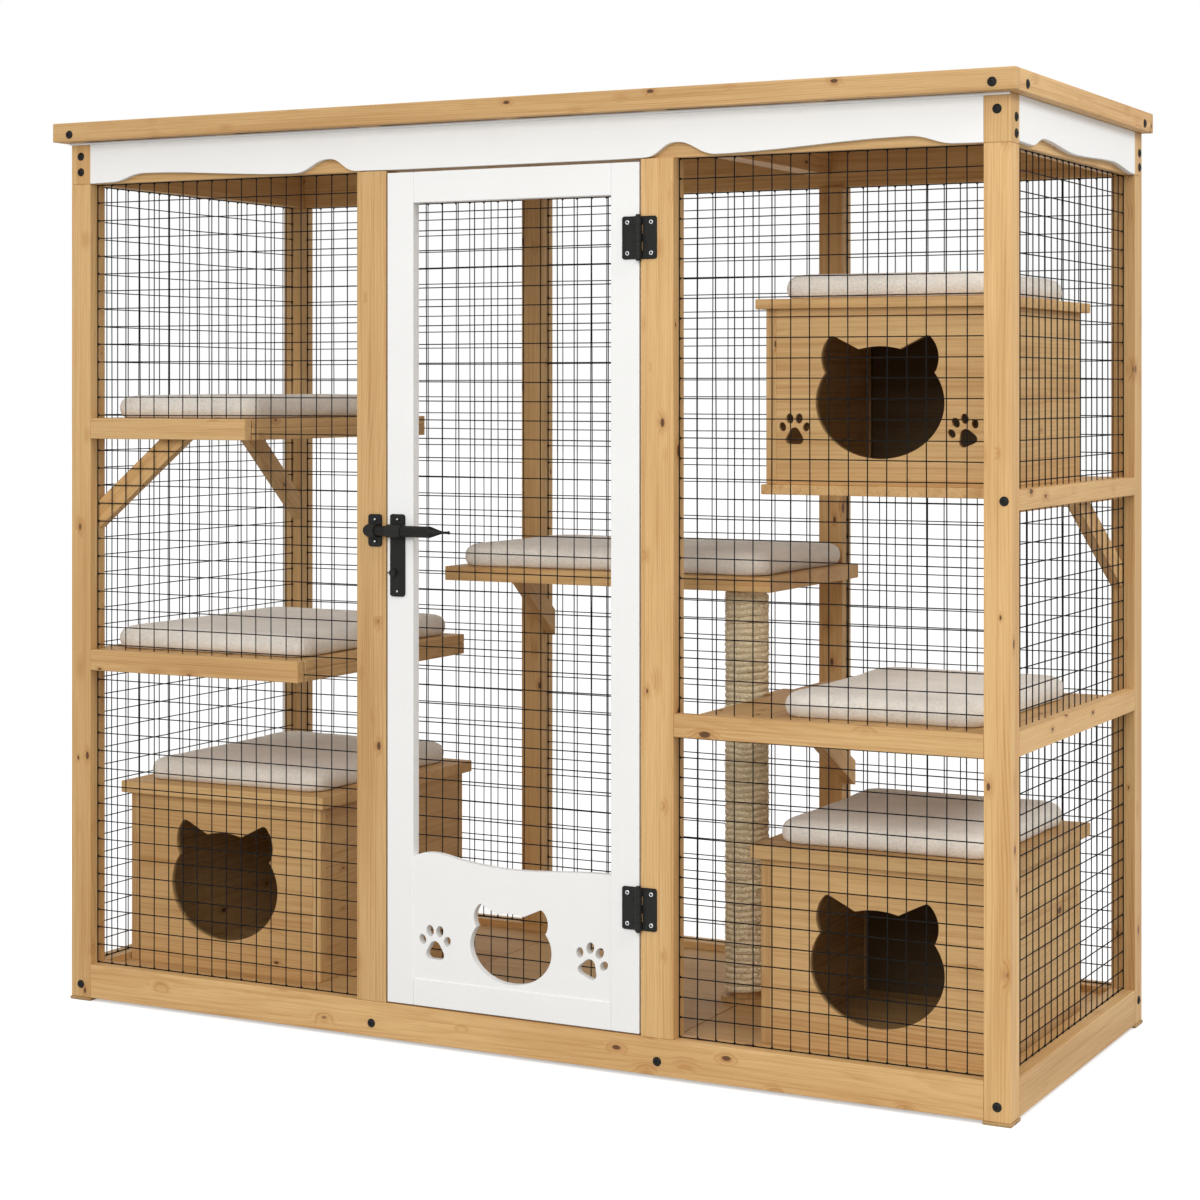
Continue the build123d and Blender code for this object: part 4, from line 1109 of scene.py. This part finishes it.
class ENCLOSURE_OT_stage(bpy.types.Operator):
    """Set up the floor, the lamps and the camera"""

    bl_idname = "enclosure.stage"
    bl_label = "Stage"

    def execute(self, context):
        self.add_floor()
        self.add_world(context.scene)
        for lamp in LAMPS:
            self.add_lamp(*lamp)
        self.add_camera(context.scene)
        context.scene.view_settings.view_transform = "Standard"
        return {"FINISHED"}

    def add_floor(self):
        """A wide pale floor just under the feet."""
        mesh = bmesh.new()
        bmesh.ops.create_grid(mesh, x_segments=8, y_segments=8, size=40)
        data = bpy.data.meshes.new("studio_floor")
        mesh.to_mesh(data)
        mesh.free()
        data.materials.append(finish_named("floor"))
        floor = bpy.data.objects.new("studio_floor", data)
        floor.location = (0, 0, -0.0005)
        bpy.context.scene.collection.objects.link(floor)

    def add_world(self, scene):
        """White round the camera, and a soft even light on the object."""
        world = bpy.data.worlds.new("Studio")
        scene.world = world
        world.use_nodes = True
        tree = world.node_tree
        tree.nodes.clear()
        paths = tree.nodes.new("ShaderNodeLightPath")
        soft = tree.nodes.new("ShaderNodeBackground")
        soft.inputs["Color"].default_value = (1, 1, 1, 1)
        soft.inputs["Strength"].default_value = SOFT_LIGHT
        white = tree.nodes.new("ShaderNodeBackground")
        white.inputs["Color"].default_value = (1, 1, 1, 1)
        white.inputs["Strength"].default_value = WHITE
        mixed = tree.nodes.new("ShaderNodeMixShader")
        output = tree.nodes.new("ShaderNodeOutputWorld")
        seen = paths.outputs[SEEN_RAYS[0]]
        for ray in SEEN_RAYS[1:]:
            either = tree.nodes.new("ShaderNodeMath")
            either.operation = "MAXIMUM"
            tree.links.new(seen, either.inputs[0])
            tree.links.new(paths.outputs[ray], either.inputs[1])
            seen = either.outputs[0]
        tree.links.new(seen, mixed.inputs[0])
        tree.links.new(soft.outputs[0], mixed.inputs[1])
        tree.links.new(white.outputs[0], mixed.inputs[2])
        tree.links.new(mixed.outputs[0], output.inputs["Surface"])

    def add_lamp(self, name, place, target, size, power):
        """A large soft lamp that looks at a target."""
        light = bpy.data.lights.new(name, "AREA")
        light.shape = "SQUARE"
        light.size = size
        light.energy = power
        lamp = bpy.data.objects.new(name, light)
        lamp.location = place
        lamp.rotation_euler = (Vector(target) - Vector(place)).to_track_quat("-Z", "Y").to_euler()
        bpy.context.scene.collection.objects.link(lamp)

    def add_camera(self, scene):
        """A level camera in front of the right corner, shifted down to frame the object."""
        focal_pixels = 2563.0
        horizon_row = 388.7
        data = bpy.data.cameras.new("Camera")
        data.sensor_width = 36
        data.lens = data.sensor_width * focal_pixels / IMAGE_SIDE
        data.shift_y = -(IMAGE_SIDE / 2 - horizon_row) / IMAGE_SIDE
        data.clip_end = 100
        camera = bpy.data.objects.new("Camera", data)
        camera.location = (2.379, -4.549, 1.248)
        camera.rotation_euler = (math.radians(90), 0, math.radians(27.45))
        scene.collection.objects.link(camera)
        scene.camera = camera


class ENCLOSURE_PT_panel(bpy.types.Panel):
    """The enclosure's settings and steps"""

    bl_idname = "ENCLOSURE_PT_panel"
    bl_label = "Cat Enclosure"
    bl_space_type = "VIEW_3D"
    bl_region_type = "UI"
    bl_category = "Cat Enclosure"

    def draw(self, context):
        layout = self.layout
        for name, group in SETTINGS.items():
            box = layout.box()
            settings = getattr(context.scene, name)
            for field in group.__annotations__:
                box.prop(settings, field)
        for operator in OPERATORS:
            layout.operator(operator.bl_idname)


SETTINGS = {
    "enclosure_wood": WoodSettings,
    "enclosure_wire": WireSettings,
    "enclosure_soft": SoftSettings,
    "enclosure_hardware": HardwareSettings,
}
OPERATORS = (
    ENCLOSURE_OT_frame, ENCLOSURE_OT_floor_and_roof, ENCLOSURE_OT_shelves, ENCLOSURE_OT_houses,
    ENCLOSURE_OT_white_boards, ENCLOSURE_OT_mesh, ENCLOSURE_OT_hardware, ENCLOSURE_OT_screws,
    ENCLOSURE_OT_cushions, ENCLOSURE_OT_scratching_post, ENCLOSURE_OT_stage,
)


def register():
    for group in SETTINGS.values():
        bpy.utils.register_class(group)
    for name, group in SETTINGS.items():
        setattr(bpy.types.Scene, name, bpy.props.PointerProperty(type=group))
    for kind in (*OPERATORS, ENCLOSURE_PT_panel):
        bpy.utils.register_class(kind)


def unregister():
    for kind in (ENCLOSURE_PT_panel, *reversed(OPERATORS)):
        bpy.utils.unregister_class(kind)
    for name in SETTINGS:
        delattr(bpy.types.Scene, name)
    for group in reversed(SETTINGS.values()):
        bpy.utils.unregister_class(group)


def main():
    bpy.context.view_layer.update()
    register()
    for operator in OPERATORS:
        category, name = operator.bl_idname.split(".")
        getattr(getattr(bpy.ops, category), name)()


if __name__ == "__main__":
    main()
